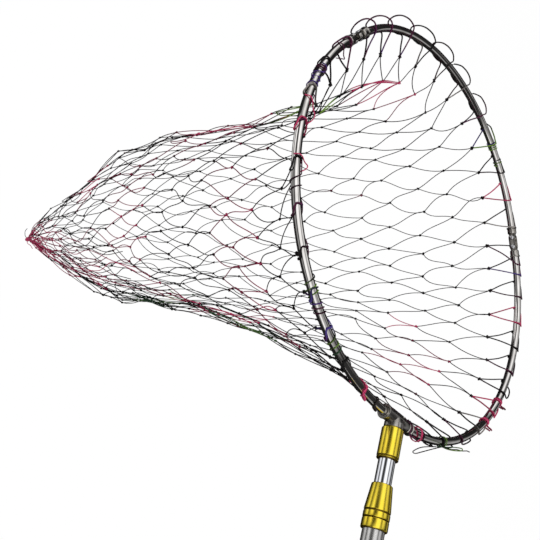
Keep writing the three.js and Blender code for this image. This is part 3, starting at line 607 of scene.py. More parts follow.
def twist_lock(prefix, inner, outer, nose, body, nut_body):
    """Tapered nut with a ring line, and the fixed body behind it with its snout inside the nut."""
    radius = outer + LOCK_WALL
    nose_bore = inner + SLIDE_GAP
    nose_radius = nose_bore + NOSE_WALL
    snout_radius = nose_bore + SNOUT_WALL
    nut_bore = snout_radius + GAP
    nut_rear = nose - NUT_LENGTH
    collet_rear = nose - COLLET_START - COLLET_LENGTH
    line = ring_line(radius, nose - NUT_TAPER - NUT_RING_START, -1)
    profile = [
        [nose_bore, nose - COLLET_START], [nose_bore, nose], [nose_radius - LOCK_EDGE, nose],
        [nose_radius, nose - LOCK_EDGE], [radius, nose - NUT_TAPER], *line, [radius, nut_rear + LOCK_EDGE],
        [radius - LOCK_EDGE, nut_rear], [nut_bore, nut_rear], [nut_bore, collet_rear],
    ]
    mark = groove_shade_mark(radius, nut_rear, line[0][1])
    nut = turned(Surface(), profile[::-1], POLE, "y", POLE_SIDES, mark=mark)
    nut.piece(f"{prefix}_nut_gold", GOLD, nut_body, "gold_anodised", f"{prefix}_lock_nut", mark_name="groove")
    front, rear = nut_rear - GAP, nose - LOCK_LENGTH
    snout, seat = collet_rear - GAP, nose - LOCK_SEAT + GAP
    profile = [
        [nose_bore, snout], [snout_radius, snout], [snout_radius, front], [radius - LOCK_EDGE, front],
        [radius, front - LOCK_EDGE], [radius, rear + TAIL_EDGE], [radius - TAIL_EDGE, rear],
        [outer + PRESS_GAP, rear], [outer + PRESS_GAP, seat], [nose_bore, seat],
    ]
    mark = groove_shade_mark(radius, rear, rear + TAIL_EDGE / 2)
    lock = turned(Surface(), profile[::-1], POLE, "y", POLE_SIDES, mark=mark)
    lock.piece(f"{prefix}_lock_gold", GOLD, body, "gold_anodised", f"{prefix}_lock_body", mark_name="groove")


def pole_tube(name, node, outer, front, material, body, slot):
    """Pole section: a tube of the sections' length that ends at its front."""
    inner, rear = outer - TUBE_WALL, front - SECTION_LENGTH
    profile = [[inner, rear], [outer, rear], [outer, front], [inner, front]]
    turned(Surface(), profile, POLE, "y", POLE_SIDES).piece(name, material, body, slot, node)


def ferrule():
    """Cup over the tip tube: a ring line at its rear, and a bore for the stud in its floor."""
    bore, floor = TIP_RADIUS + GAP, FERRULE_FRONT - FERRULE_TOP_WALL
    line = ring_line(FERRULE_RADIUS, FERRULE_REAR + FERRULE_RING_START, 1)
    profile = [
        [bore, FERRULE_REAR], [FERRULE_RADIUS - FERRULE_REAR_EDGE, FERRULE_REAR], *line,
        [FERRULE_RADIUS, FERRULE_FRONT - FERRULE_EDGE], [FERRULE_RADIUS - FERRULE_EDGE, FERRULE_FRONT],
        [STUD_BORE, FERRULE_FRONT], [STUD_BORE, floor], [bore, floor],
    ]
    mark = groove_shade_mark(FERRULE_RADIUS, FERRULE_REAR, line[-1][1])
    cup = turned(Surface(), profile, POLE, "y", POLE_SIDES, mark=mark)
    cup.piece("ferrule_gold", GOLD, "head", "gold_anodised", "head_ferrule", mark_name="groove")


def grip():
    """Foam sleeve: it swells by a sine towards its middle, and bell-shaped valleys part its rings."""
    bore = BUTT_RADIUS + PRESS_GAP
    shoulder = bore + GRIP_WALL - GRIP_EDGE
    share = np.linspace(0, 1, GRIP_STEPS + 1)[1:-1]
    away = np.abs((share * GRIP_RINGS + 0.5) % 1 - 0.5) * GRIP_LENGTH / GRIP_RINGS
    ringed = (share > GRIP_PLAIN) & (share < 1 - GRIP_PLAIN)
    valley = GRIP_GROOVE * np.exp(-(away / GRIP_GROOVE_HALF) ** 2) * ringed
    swell = GRIP_WALL + GRIP_SWELL * np.sin(np.pi * share) - valley
    skin = np.stack([bore + swell, GRIP_REAR + share * GRIP_LENGTH], axis=1)
    profile = [[bore, GRIP_REAR], [shoulder, GRIP_REAR], *skin, [shoulder, GRIP_FRONT], [bore, GRIP_FRONT]]
    sleeve = turned(Surface(), profile, POLE, "y", GRIP_SIDES, edge=GRIP_ROUND, steps=2)
    sleeve.piece("grip_foam_sleeve", FOAM, "butt", "grip_foam", "grip")


def butt_cap():
    """Rubber cap: a flange with a shallow dish in its face, and a plug in the butt tube."""
    rim = BUTT_RADIUS + GRIP_WALL + GRIP_SWELL / 2
    plug = BUTT_RADIUS - TUBE_WALL - PRESS_GAP
    dish, seat, end = BUTT_FACE + CAP_DISH, GRIP_REAR - GAP, GRIP_REAR + CAP_PLUG
    profile = [
        [AXIS_GAP, dish], [rim * CAP_DISH_FLOOR, dish], [rim * CAP_DISH_RIM, BUTT_FACE],
        [rim - CAP_EDGE, BUTT_FACE], [rim, BUTT_FACE + CAP_EDGE], [rim, seat - CAP_BACK_EDGE],
        [rim - CAP_BACK_EDGE, seat], [plug, seat], [plug, end - CAP_PLUG_EDGE],
        [plug - CAP_PLUG_EDGE, end], [AXIS_GAP, end],
    ]
    cap = turned(Surface(), profile, POLE, "y", GRIP_SIDES, closed=False, edge=CAP_ROUND)
    cap.piece("butt_cap_rubber", RUBBER, "butt", "cap_rubber", "butt_cap")


def pole():
    """Three nesting tubes, two twist locks, ferrule, grip and butt cap."""
    pole_tube("butt_tube_satin", "butt_tube", BUTT_RADIUS, BUTT_FRONT, GREY_TUBE, "butt", "grey_tube")
    pole_tube("mid_tube_satin", "mid_tube", MID_RADIUS, MID_FRONT, GREY_TUBE, "mid", "grey_tube")
    pole_tube("tip_tube_chrome", "tip_tube", TIP_RADIUS, TIP_FRONT, CHROME, "head", "tip_chrome")
    twist_lock("rear", MID_RADIUS, BUTT_RADIUS, REAR_NOSE, "butt", "rear_nut")
    twist_lock("front", TIP_RADIUS, MID_RADIUS, FRONT_NOSE, "mid", "front_nut")
    ferrule()
    grip()
    butt_cap()


def hoop_path(angle, s):
    """Centre line of an arc that starts at a joint: a circle's arc, straight beyond its two ends."""
    start = math.radians(angle)
    inside = np.clip(s, 0, ARC_LENGTH)
    turn = start + inside / ARC_RADIUS
    beyond = s - inside
    middle = start + ARC_TURN / 2
    x = ARC_SHIFT * math.cos(middle) + ARC_RADIUS * np.cos(turn) - beyond * np.sin(turn)
    y = ARC_SHIFT * math.sin(middle) + ARC_RADIUS * np.sin(turn) + beyond * np.cos(turn)
    outwards = np.stack([np.cos(turn), np.sin(turn), 0 * turn], axis=-1)
    return np.stack([x, HOOP_Y + y, 0 * x], axis=-1), outwards


def hoop_tube(name, node, angle, lead, tail, body):
    """Bent tube: outer wall from end to end, then the bore back again."""
    s = np.linspace(-lead, ARC_LENGTH + tail, HOOP_RINGS)
    both = np.concatenate([s, s[::-1]])
    radii = np.repeat([HOOP_TUBE_RADIUS, HOOP_TUBE_RADIUS - HOOP_TUBE_WALL], HOOP_RINGS)
    centres, outwards = hoop_path(angle, both)
    walls = rings(centres, Z_AXIS, outwards, radii, HOOP_SIDES)
    Surface().add(walls, closed=True, along=both).piece(name, HOOP_STEEL, body, "hoop_steel", node)


def drawn_in(outline, inset):
    """Closed outline moved inwards, each point square to the chord between its neighbours."""
    ahead = np.roll(outline, -1, axis=0) - np.roll(outline, 1, axis=0)
    return outline - inset * unit(np.stack([ahead[:, 1], -ahead[:, 0]], axis=1))


def plate(surface, outline, frame_at, low, high, edge=PLATE_EDGE):
    """Bevelled plate: an outline in x and z carried along y, drawn in at both faces."""
    outline = np.asarray(outline, float)
    part = BEVEL_STEP * edge
    levels = [(low, edge), (low + part, part), (low + edge, 0),
              (high - edge, 0), (high - part, part), (high, edge)]
    loops = []
    for y, inset in levels:
        x, z = drawn_in(outline, inset)[::-1].T
        loops.append(frame_at.at(x, y, z))
    return surface.add(np.stack(loops))


def sleeve_profile(start, end, bore):
    """Cup for a tube's end: a floor, a cylinder and a rounded lip round its mouth."""
    lip, floor = SLEEVE_RADIUS + LIP_HEIGHT, start + SLEEVE_FLOOR
    return [
        [bore, floor], [CORE_HOLE, floor], [CORE_HOLE, start],
        [SLEEVE_RADIUS - SLEEVE_EDGE, start], [SLEEVE_RADIUS, start + SLEEVE_EDGE],
        [SLEEVE_RADIUS, end - LIP_LENGTH - LIP_RISE], [lip - LIP_ROUND, end - LIP_LENGTH],
        [lip, end - LIP_LENGTH / 2], [lip - LIP_ROUND, end], [bore, end],
    ]


def mirrored(frame_at):
    """The same joint seen from its other side: turned half round about z."""
    return JointFrame(frame_at.origin, -frame_at.x, -frame_at.y)


def tongue_outline():
    """Straight root and half-round end about the rivet, anticlockwise in x and z."""
    root = SLEEVE_START + SLEEVE_FLOOR / 2
    turn = np.linspace(np.pi / 2, 1.5 * np.pi, HALF_ROUND_POINTS)
    end = np.stack([PIN_OFFSET + TONGUE_RADIUS * np.cos(turn), TONGUE_RADIUS * np.sin(turn)], axis=1)
    return np.concatenate([end, [[root, -TONGUE_RADIUS], [root, TONGUE_RADIUS]]])


def link_outline():
    """Round-ended bar over both rivets."""
    turn = np.linspace(-np.pi / 2, np.pi / 2, HALF_ROUND_POINTS)
    right = np.stack([PIN_OFFSET + LINK_RADIUS * np.cos(turn), LINK_RADIUS * np.sin(turn)], axis=1)
    return np.concatenate([right, -right])


def hinge(prefix, angle, near, far, near_body, far_body, link_body):
    """Two lipped sleeves with tongues, a link of two cheeks and a web, and two domed rivets."""
    joint = hoop_joint(angle)
    for side, name, body in ((joint, near, near_body), (mirrored(joint), far, far_body)):
        profile = sleeve_profile(SLEEVE_START, SLEEVE_END, SLEEVE_BORE)
        cup = turned(Surface(), profile, side, "x", SLEEVE_SIDES)
        plate(cup, tongue_outline(), side, -TONGUE_THICKNESS / 2, TONGUE_THICKNESS / 2)
        node = f"{prefix}_hinge_sleeve_{name}"
        cup.piece(f"{prefix}_sleeve_{name}", HINGE_STEEL, body, "hinge_steel", node)
    link = Surface()
    seat = TONGUE_THICKNESS / 2 + GAP
    plate(link, link_outline(), joint, seat, seat + CHEEK_THICKNESS, CHEEK_EDGE)
    plate(link, link_outline(), joint, -seat - CHEEK_THICKNESS, -seat, CHEEK_EDGE)
    half, tall, reach = WEB_THICKNESS / 2, WEB_HALF_HEIGHT, seat + CHEEK_THICKNESS / 2
    plate(link, [[half, -tall], [half, tall], [-half, tall], [-half, -tall]], joint, -reach, reach, WEB_EDGE)
    link.piece(f"{prefix}_link_cheeks", HINGE_STEEL, link_body, "hinge_steel", f"{prefix}_hinge_link")
    top = seat + CHEEK_THICKNESS + PIN_GAP
    dome = np.linspace(0, np.pi / 2 - RIVET_CROWN, RIVET_POINTS)
    head = np.stack([RIVET_HEAD_RADIUS * np.cos(dome), top + RIVET_HEAD_HEIGHT * np.sin(dome)], axis=1)
    profile = np.concatenate([(head * [1, -1])[::-1], [[RIVET_RADIUS, -top], [RIVET_RADIUS, top]], head])
    for x, name in ((PIN_OFFSET, near), (-PIN_OFFSET, far)):
        at_pin = JointFrame(joint.at(x, 0, 0), joint.x, joint.y)
        rivet = turned(Surface(), profile, at_pin, "y", RIVET_SIDES, closed=False, edge=RIVET_ROUND, steps=2)
        rivet.piece(f"{prefix}_rivet_{name}", CHROME, link_body, "tip_chrome", f"{prefix}_hinge_rivet_{name}")


def channel_outline():
    """Arch with a slot open below, anticlockwise in y and z."""
    turn = np.linspace(0, np.pi, HALF_ROUND_POINTS)
    arch = np.stack([CHANNEL_HALF * np.cos(turn), CHANNEL_HALF * np.sin(turn)], axis=1)
    roof = CATCH_TOP + GAP
    left = [[-CHANNEL_HALF, -CHANNEL_DEPTH], [-CHANNEL_SLOT, -CHANNEL_DEPTH], [-CHANNEL_SLOT, roof]]
    right = [[CHANNEL_SLOT, roof], [CHANNEL_SLOT, -CHANNEL_DEPTH], [CHANNEL_HALF, -CHANNEL_DEPTH]]
    return np.concatenate([arch, left, right])


def base_socket():
    """Barrel with a lip for the left arc, a channel for the right arc's catch, and the boss on the pole."""
    joint = hoop_joint(SOCKET_ANGLE)
    lip = BARREL_RADIUS + LIP_HEIGHT
    socket = Surface()
    turned(socket, [
        [SLEEVE_BORE, -BARREL_FLOOR], [SLEEVE_BORE, -BARREL_HALF], [lip - LIP_ROUND, -BARREL_HALF],
        [lip, -BARREL_HALF + LIP_ROUND], [lip, -BARREL_HALF + LIP_LENGTH],
        [BARREL_RADIUS, -BARREL_HALF + LIP_LENGTH + LIP_RISE], [BARREL_RADIUS, BARREL_FLOOR - SLEEVE_EDGE],
        [BARREL_RADIUS - SLEEVE_EDGE, BARREL_FLOOR], [CORE_HOLE, BARREL_FLOOR], [CORE_HOLE, -BARREL_FLOOR],
    ][::-1], joint, "x", SOCKET_SIDES, edge=BARREL_ROUND)
    turned(socket, [
        [AXIS_GAP, -BOSS_LENGTH], [BOSS_RADIUS, -BOSS_LENGTH], [BOSS_RADIUS, -BOSS_SHOULDER],
        [BOSS_RADIUS - BOSS_TAPER, 0], [AXIS_GAP, 0],
    ], joint, "y", SOCKET_SIDES, closed=False, edge=BOSS_ROUND)
    part = CHANNEL_EDGE / 3
    levels = [(BARREL_FLOOR - CHANNEL_ROOT, 0), (CHANNEL_END - CHANNEL_EDGE, 0), (CHANNEL_END - part, part),
              (CHANNEL_END, CHANNEL_EDGE)]
    socket.add(np.stack([joint.at(x, *drawn_in(channel_outline(), inset).T) for x, inset in levels]))
    # The base socket takes the darker copy of the hinge steel, which paints shade on it
    socket.piece("base_socket_steel", SHADED_SOCKET_STEEL, "head", "hinge_steel", "hoop_socket")


def arc_end_catch():
    """End fitting of the right arc: a lipped sleeve and a round-cornered catch that lies in the channel. The
    sleeve's bore is wider by as much as the arc bends away from it."""
    joint = hoop_joint(SOCKET_ANGLE)
    end = CATCH_SLEEVE_START + CATCH_SLEEVE_LENGTH
    sag = max(0.0, end - STRAIGHT_HALF) ** 2 / (2 * ARC_RADIUS)
    profile = sleeve_profile(CATCH_SLEEVE_START, end, SLEEVE_BORE + sag)
    fitting = turned(Surface(), profile, joint, "x", SLEEVE_SIDES)
    nose = BARREL_FLOOR + CATCH_END_GAP
    tail = CATCH_SLEEVE_START + SLEEVE_FLOOR / 2
    corners = [[tail, -CATCH_BOTTOM], [tail, CATCH_TOP], [nose, CATCH_TOP], [nose, -CATCH_BOTTOM]]
    plate(fitting, rounded(corners, CATCH_ROUND, CATCH_STEPS), joint, -CATCH_HALF, CATCH_HALF)
    fitting.piece("arc_end_catch", HINGE_STEEL, "right_arc", "hinge_steel", "right_arc_end")


def hoop():
    """Three bent tubes, the hinges between them, the base socket and the catch."""
    lead = STRAIGHT_HALF - TUBE_END
    hoop_tube("left_arc_tube", "left_arc", TOP_ANGLE, lead, STRAIGHT_HALF - BARREL_FLOOR - GAP, "head")
    hoop_tube("upper_arc_tube", "upper_arc", RIGHT_ANGLE, lead, lead, "upper_arc")
    catch_lead = STRAIGHT_HALF - (CATCH_SLEEVE_START + SLEEVE_FLOOR + GAP)
    hoop_tube("right_arc_tube", "right_arc", SOCKET_ANGLE, catch_lead, lead, "right_arc")
    hinge("top", TOP_ANGLE, "left", "upper", "head", "upper_arc", "top_link")
    hinge("right", RIGHT_ANGLE, "upper", "lower", "upper_arc", "right_arc", "right_link")
    base_socket()
    arc_end_catch()


pole()
hoop()


def hoop_reach(angle):
    """Distance of the hoop's centre line from its middle: a straight line at a joint, else an arc."""
    from_middle = np.mod(angle - math.radians(RIGHT_ANGLE), ARC_TURN) - ARC_TURN / 2
    from_joint = ARC_TURN / 2 - np.abs(from_middle)
    straight = HINGE_RADIUS / np.cos(from_joint)
    across = ARC_SHIFT * np.sin(from_middle)
    arc = ARC_SHIFT * np.cos(from_middle) + np.sqrt(ARC_RADIUS ** 2 - across ** 2)
    return np.where(HINGE_RADIUS * np.tan(from_joint) < STRAIGHT_HALF, straight, arc)


def cubic(start, end, leave, arrive, t):
    """Cubic curve from start to end with the slopes given there."""
    bend = 2 * start - 2 * end + leave + arrive
    sweep = 3 * end - 3 * start - 2 * leave - arrive
    return bend * t ** 3 + sweep * t ** 2 + leave * t + start


def bag_point(along, angle):
    """Bag surface: at a share of the sections, splined through the table, an ellipse about its own middle;
    near the rim it takes the hoop's own outline."""
    along, angle = np.broadcast_arrays(along, angle)
    last = len(BAG_SECTIONS) - 1
    place = np.clip(along, 0, 1) * last
    k = np.minimum(place.astype(int), last - 1)
    p0, p1 = BAG_SECTIONS[np.maximum(k - 1, 0)], BAG_SECTIONS[k]
    p2, p3 = BAG_SECTIONS[k + 1], BAG_SECTIONS[np.minimum(k + 2, last)]
    row = cubic(p1, p2, (p2 - p0) / 2, (p3 - p1) / 2, (place - k)[..., None])
    depth, top, bottom, far, near = np.moveaxis(row, -1, 0)
    depth = np.maximum(depth, 0)
    hoop_shape = 1 + (hoop_reach(angle) / HOOP_RADIUS - 1) * (1 - depth) ** HOOP_FADE
    turn = angle - BAG_TURN
    u = HOOP_RADIUS * ((far + near) / 2 + (far - near) / 2 * np.cos(turn) * hoop_shape)
    v = HOOP_RADIUS * ((top + bottom) / 2 + (top - bottom) / 2 * np.sin(turn) * hoop_shape)
    x = u * math.cos(BAG_TURN) - v * math.sin(BAG_TURN)
    y = HOOP_Y + u * math.sin(BAG_TURN) + v * math.cos(BAG_TURN)
    return np.stack([x, y, -BAG_DEPTH * depth], axis=-1)


def catmull(points, steps):
    """Smooth curve through points, an array (batch, point, 3): a cubic from each point to the next, whose
    slope at a point is half the chord between its neighbours."""
    before, after = 2 * points[:, :1] - points[:, 1:2], 2 * points[:, -1:] - points[:, -2:-1]
    padded = np.concatenate([before, points, after], axis=1)
    p0, p1, p2, p3 = (padded[:, k:padded.shape[1] - 3 + k, None] for k in range(4))
    t = np.linspace(0, 1, steps, endpoint=False)[None, None, :, None]
    spans = cubic(p1, p2, (p2 - p0) / 2, (p3 - p1) / 2, t)
    return np.concatenate([spans.reshape(len(points), -1, 3), points[:, -1:]], axis=1)


def off_axis(vectors):
    """An axis that each vector is well away from: z, or x where the vector is steep."""
    return np.where(np.abs(vectors[:, 2:3]) < STEEP, Z_AXIS, X_AXIS)


def strands(surface, centres, radius, along):
    """Threads: circles carried along the centre lines, an array (batch, point, 3), turned by a side vector
    that is kept square to the thread."""
    ahead = unit(np.gradient(centres, axis=1))
    helper = off_axis(unit(centres[:, -1] - centres[:, 0] + 1e-9))[:, None]
    across = unit(np.cross(ahead, np.broadcast_to(helper, ahead.shape)))
    radii = np.broadcast_to(radius, centres.shape[:2])
    circles = rings(centres, across, np.cross(ahead, across), radii, THREAD_SIDES)
    return surface.add(circles, along=along)


# Net lattice: meshes round the rim, rows of knots down to the tip, rows where one knot takes up two meshes
LOOPS = 36
ROWS = 17
HALVE_ROWS = (12,)
MESH_ANGLE = 2 * math.pi / LOOPS
THREAD_RADIUS = 0.51 * MM
THREAD_SIDES = 6
LOOP_RADIUS = 0.78 * MM
# First row and spacing of the rows as shares of a meridian; places are an angle and a half width in degrees
LOOP_DROP = 0.034
FAR_DROP = 0.022
FAR_DROP_PLACE = (50, 50)
ROW_STRETCH = 0.1
TOP_TUCK = 0.45
TOP_TUCK_PLACE = (122, 32)
TOP_TUCK_ROWS = 2.5
TOP_SHEAR = math.radians(7)
TOP_SHEAR_PLACE = (82, 32)
# How the columns slide round the bag as they go down
UNDERSIDE = BAG_TURN - math.pi / 2
SLIDE_FAR = 0.72
SLIDE_NEAR = 0.46
SLIDE_LEAN = 0.3
SLIDE_PINCH = 0.03
SLIDE_ROWS = 7
SLIDE_EASE = 0.6
EASE_ROW = 5
TAIL_TURN = math.radians(88)
# How far the knots stray from the smooth bag, and how that eases off at the rim and over the last rows
KNOT_JITTER = 3.4 * MM
FOLD = 5 * MM
FOLD_ROWS = 3
HANG = 4.5 * MM
TOP_FULL = 14 * MM
TOP_FULL_PLACE = (163, 22)
TOP_FULL_ROWS = (2, 1.6)
FIRST_ROW_EASE = 0.3
RIM_EASE, RIM_EASE_ROWS = 0.4, 8
TIP_EASE_ROWS = 4
# Knots, and the bars between them: their bow, and the spread of bow, wave and lift, as shares of their length
KNOT_SIZE = 1.25 * MM
RIM_KNOT_SCALE = 1.4
KNOT_THREAD = 0.8 * MM
KNOT_DEPTH = 1.4
KNOT_SCALES = (0.85, 1.2)
KNOT_POINTS = 14
KNOT_SIDES = 4
BAR_STEPS = 8
BAR_BOW = 0.22
BOW_SPREAD, WAVE_SPREAD, LIFT_SPREAD = 0.16, 0.2, 0.1
# Threads through the bunched knots under the top hinge, between two rim angles
GATHER_THREADS = 3
GATHER_STEPS = 6
GATHER_FROM, GATHER_TO = 112, 166
GATHER_SPREAD = 1.1 * MM
# Slack threads of the gathered end: how many, the angles they start and end between, and where on the bag
DRAWN = 12
DRAWN_STARTS = (222, 256)
DRAWN_ENDS = (188, 240)
DRAWN_FROM, DRAWN_LATE = 0.56, 0.1
DRAWN_POINTS = 11
DRAWN_STEPS = 5
DRAWN_WANDER = 0.07
DRAWN_STRAY = 2 * MM
DRAWN_DYE_RUN = (0.2, -0.06)
# Fineness of the meridians' table, a small step for slopes, and the upright part from which a vector is steep
MERIDIAN_STEPS = 400
MERIDIANS = 720
NUDGE = 1e-3
STEEP = 0.8
# Dyes as shares of the repeat
PLAIN_DYE = 0.62
DYE_SPREAD = 0.03
FADED, CRIMSON, GREEN, VIOLET, INK = 0.15, 0.40, 0.80, 0.905, 0.96
# Dyes of the gathered threads by share of their length, and how far they differ in metres
GATHER_DYES = ((0, CRIMSON), (0.55, CRIMSON), (0.8, GREEN), (1, GREEN))
GATHER_DYE_SPREAD = 0.05
# Where the bag's twine is dyed: rim angle, row, half widths in degrees and rows, dye
BAG_DYES = (
    (205, 2.4, 75, 1.2, CRIMSON), (200, 7.5, 55, 1.1, CRIMSON), (142, 5, 30, 1.8, CRIMSON),
    (122, 1, 20, 0.9, CRIMSON), (216, 13, 15, 2.4, CRIMSON), (285, 8.6, 35, 1.2, GREEN),
    (265, 4.5, 25, 1.5, GREEN), (-32, 1.4, 22, 1.2, CRIMSON), (72, 4.5, 12, 0.5, CRIMSON),
    (-5, 2.2, 9, 0.6, CRIMSON), (150, 2, 18, 0.8, GREEN), (318, 6.5, 30, 1.4, CRIMSON),
    (245, 10, 30, 1.4, CRIMSON), (335, 9, 25, 1.2, GREEN), (255, 6.3, 18, 0.8, CRIMSON),
    (160, 10, 25, 1.2, CRIMSON), (300, 13, 24, 1.5, GREEN), (276, 13.4, 30, 1.7, FADED),
    (0, 16, 1000, 1.5, CRIMSON),
)
# Where the rim's twine is dyed: hoop angle, half width in degrees, dye; elsewhere it is ink. A dye less 1
# lies in the repeat before
RIM_DYES = (
    (68, 7, GREEN - 1), (45, 7, CRIMSON), (5, 5, CRIMSON), (-18, 6, VIOLET - 1), (-36, 8, CRIMSON),
    (97, 6, CRIMSON), (142, 8, VIOLET - 1), (160, 7, VIOLET - 1), (187, 8, CRIMSON), (232, 8, GREEN - 1),
    (256, 7, CRIMSON),
)


def meridian_shares():
    """Table of length along each meridian against the share of the sections."""
    share = np.linspace(0, 1, MERIDIAN_STEPS)
    angle = np.linspace(0, 2 * np.pi, MERIDIANS, endpoint=False)
    points = bag_point(share[None, :], angle[:, None])
    steps = np.linalg.norm(np.diff(points, axis=1), axis=-1)
    length = np.concatenate([np.zeros((MERIDIANS, 1)), np.cumsum(steps, axis=1)], axis=1)
    return share, length / length[:, -1:]


MERIDIAN_SHARE, MERIDIAN_LENGTH = meridian_shares()


def on_meridian(length_share, angle):
    """Share of the sections at a share of the meridian's length."""
    column = np.mod(np.round(angle / (2 * np.pi) * MERIDIANS).astype(int), MERIDIANS)
    index = (MERIDIAN_LENGTH[column] < length_share[..., None]).sum(axis=-1)
    return MERIDIAN_SHARE[np.minimum(index, MERIDIAN_STEPS - 1)]


def hump(angle, middle, half):
    """Bell of height 1 about a middle and with a half width in degrees; the angle is in radians."""
    away = np.mod(np.degrees(angle) - middle + 180, 360) - 180
    return np.exp(-(away / half) ** 2)


def row_hump(row, middle, half):
    """Bell of height 1 about a row."""
    return math.exp(-((row - middle) / half) ** 2)


def slide(rim, row):
    """Angle by which the columns have slid round towards the bag's underside at a row: a sine round the bag,
    stronger on the far wall, that grows with the rows; over the last ones it eases off and turns to the near
    side."""
    ease = max(0, row - EASE_ROW) / (ROWS - 1 - EASE_ROW)
    turn = rim - UNDERSIDE + TAIL_TURN * ease
    pull = np.where(np.sin(turn) > 0, SLIDE_FAR * (1 - SLIDE_LEAN * np.cos(turn)), SLIDE_NEAR)
    grown = (1 - math.exp(-row / SLIDE_ROWS)) * (1 - SLIDE_EASE * ease)
    return -(pull * np.sin(turn) + SLIDE_PINCH * np.sin(2 * turn)) * grown


def dye_metres(rim, row):
    """Metres along the twine: at its black, drawn towards another dye about each place in the table."""
    share = PLAIN_DYE + random.normal(0, DYE_SPREAD, rim.shape)
    for degrees, at_row, half, rows, dye in BAG_DYES:
        share = share + (dye - share) * hump(rim, degrees, half) * row_hump(row, at_row, rows)
    return DYE_REPEAT * share


def folds(rim, row):
    """Height of the bag's soft folds over its smooth shape: two crossed waves that grow from the rim, and a
    fuller place beside the top hinge."""
    waves = np.sin(5 * rim + 1.1 * row) + np.sin(3 * rim - 0.9 * row + 2)
    full = TOP_FULL * hump(rim, *TOP_FULL_PLACE) * row_hump(row, *TOP_FULL_ROWS)
    return FOLD * 0.5 * waves * (1 - math.exp(-row / FOLD_ROWS)) + full


def looseness(row):
    """How freely a row's knots stray: little at the rim, then more, and less again over the last rows."""
    near_rim = min(1.0, RIM_EASE + row / RIM_EASE_ROWS) if row else FIRST_ROW_EASE
    return min(1.0, (ROWS - 1 - row) / TIP_EASE_ROWS) * near_rim


def knot_rows():
    """Knots row by row, half a mesh apart from row to row; towards the tip one knot takes up two meshes."""
    rows = []
    width, start = 1.0, 0.5
    for j in range(ROWS):
        if j in HALVE_ROWS:
            start = start + width
            width *= 2
        elif j:
            start = start + width / 2
        cell = start + width * np.arange(int(LOOPS / width))
        rim = math.radians(RIGHT_ANGLE) + cell * MESH_ANGLE
        angle = rim + slide(rim, j) + min(j, 1) * TOP_SHEAR * hump(rim, *TOP_SHEAR_PLACE)
        drop = LOOP_DROP + FAR_DROP * hump(rim, *FAR_DROP_PLACE)
        step = j / (ROWS - 1)
        step = step - ROW_STRETCH * np.cos(rim - BAG_TURN) * step * (1 - step)
        if j:
            tuck = TOP_TUCK / (ROWS - 1) * math.exp((1 - j) / TOP_TUCK_ROWS)
            step = step - tuck * hump(rim, *TOP_TUCK_PLACE)
        share = on_meridian(drop + (1 - drop) * step, angle)
        around = bag_point(share, angle + NUDGE) - bag_point(share, angle - NUDGE)
        down = bag_point(share + NUDGE, angle) - bag_point(share - NUDGE, angle)
        normal = unit(np.cross(down, around))
        ease = looseness(j)
        point = bag_point(share, angle) + random.normal(0, KNOT_JITTER * ease, around.shape)
        point = point + normal * ((folds(rim, j) - HANG) * ease)[:, None]
        rows.append({"cell": cell, "width": width, "start": start, "point": point, "rim": rim,
                     "normal": normal, "twine": dye_metres(rim, j)})
    return rows


def knot_index(row, cell):
    """Place in its row of the knot nearest to a cell, counted round the bag."""
    return np.mod(np.round((cell - row["start"]) / row["width"]).astype(int), len(row["cell"]))


def bars_between(upper, lower):
    """Ends, normals, rim angle, slant and twine metres of the bars from one row down to the next."""
    same = lower["width"] == upper["width"]
    reach = upper["width"] / 2 if same else upper["width"]
    steps = (-reach, reach) if same else (-reach, 0.0, 0.0, reach)
    count = len(lower["cell"])
    top = np.concatenate([knot_index(upper, lower["cell"] + step) for step in steps])
    bottom = np.tile(np.arange(count), len(steps))
    slants = [np.sign(step) if step else (-1.0) ** n for n, step in enumerate(steps)]
    return {
        "start": upper["point"][top], "end": lower["point"][bottom],
        "normal": unit(upper["normal"][top] + lower["normal"][bottom]),
        "rim": upper["rim"][top], "slant": np.repeat(slants, count), "twine": upper["twine"][top],
    }


def bar_curves(bars):
    """Each bar is a cubic curve that bows in the net's face: it leaves the upper knot beside its neighbour
    and comes round to the lower knot from the side, as a mesh's legs do."""
    chord = bars["end"] - bars["start"]
    size = np.linalg.norm(chord, axis=1, keepdims=True)
    sideways = np.cross(bars["normal"], chord)
    bow = BAR_BOW * bars["slant"][:, None] + random.normal(0, BOW_SPREAD, size.shape)
    wave = random.normal(0, WAVE_SPREAD, size.shape)
    lift = bars["normal"] * size * random.normal(0, LIFT_SPREAD, size.shape)
    leave = (chord + sideways * (wave + bow) + lift)[:, None]
    arrive = (chord + sideways * (wave - bow) - lift)[:, None]
    share = np.linspace(0, 1, BAR_STEPS + 1)
    curve = cubic(bars["start"][:, None], bars["end"][:, None], leave, arrive, share[None, :, None])
    return curve, bars["twine"][:, None] + size * share[None]


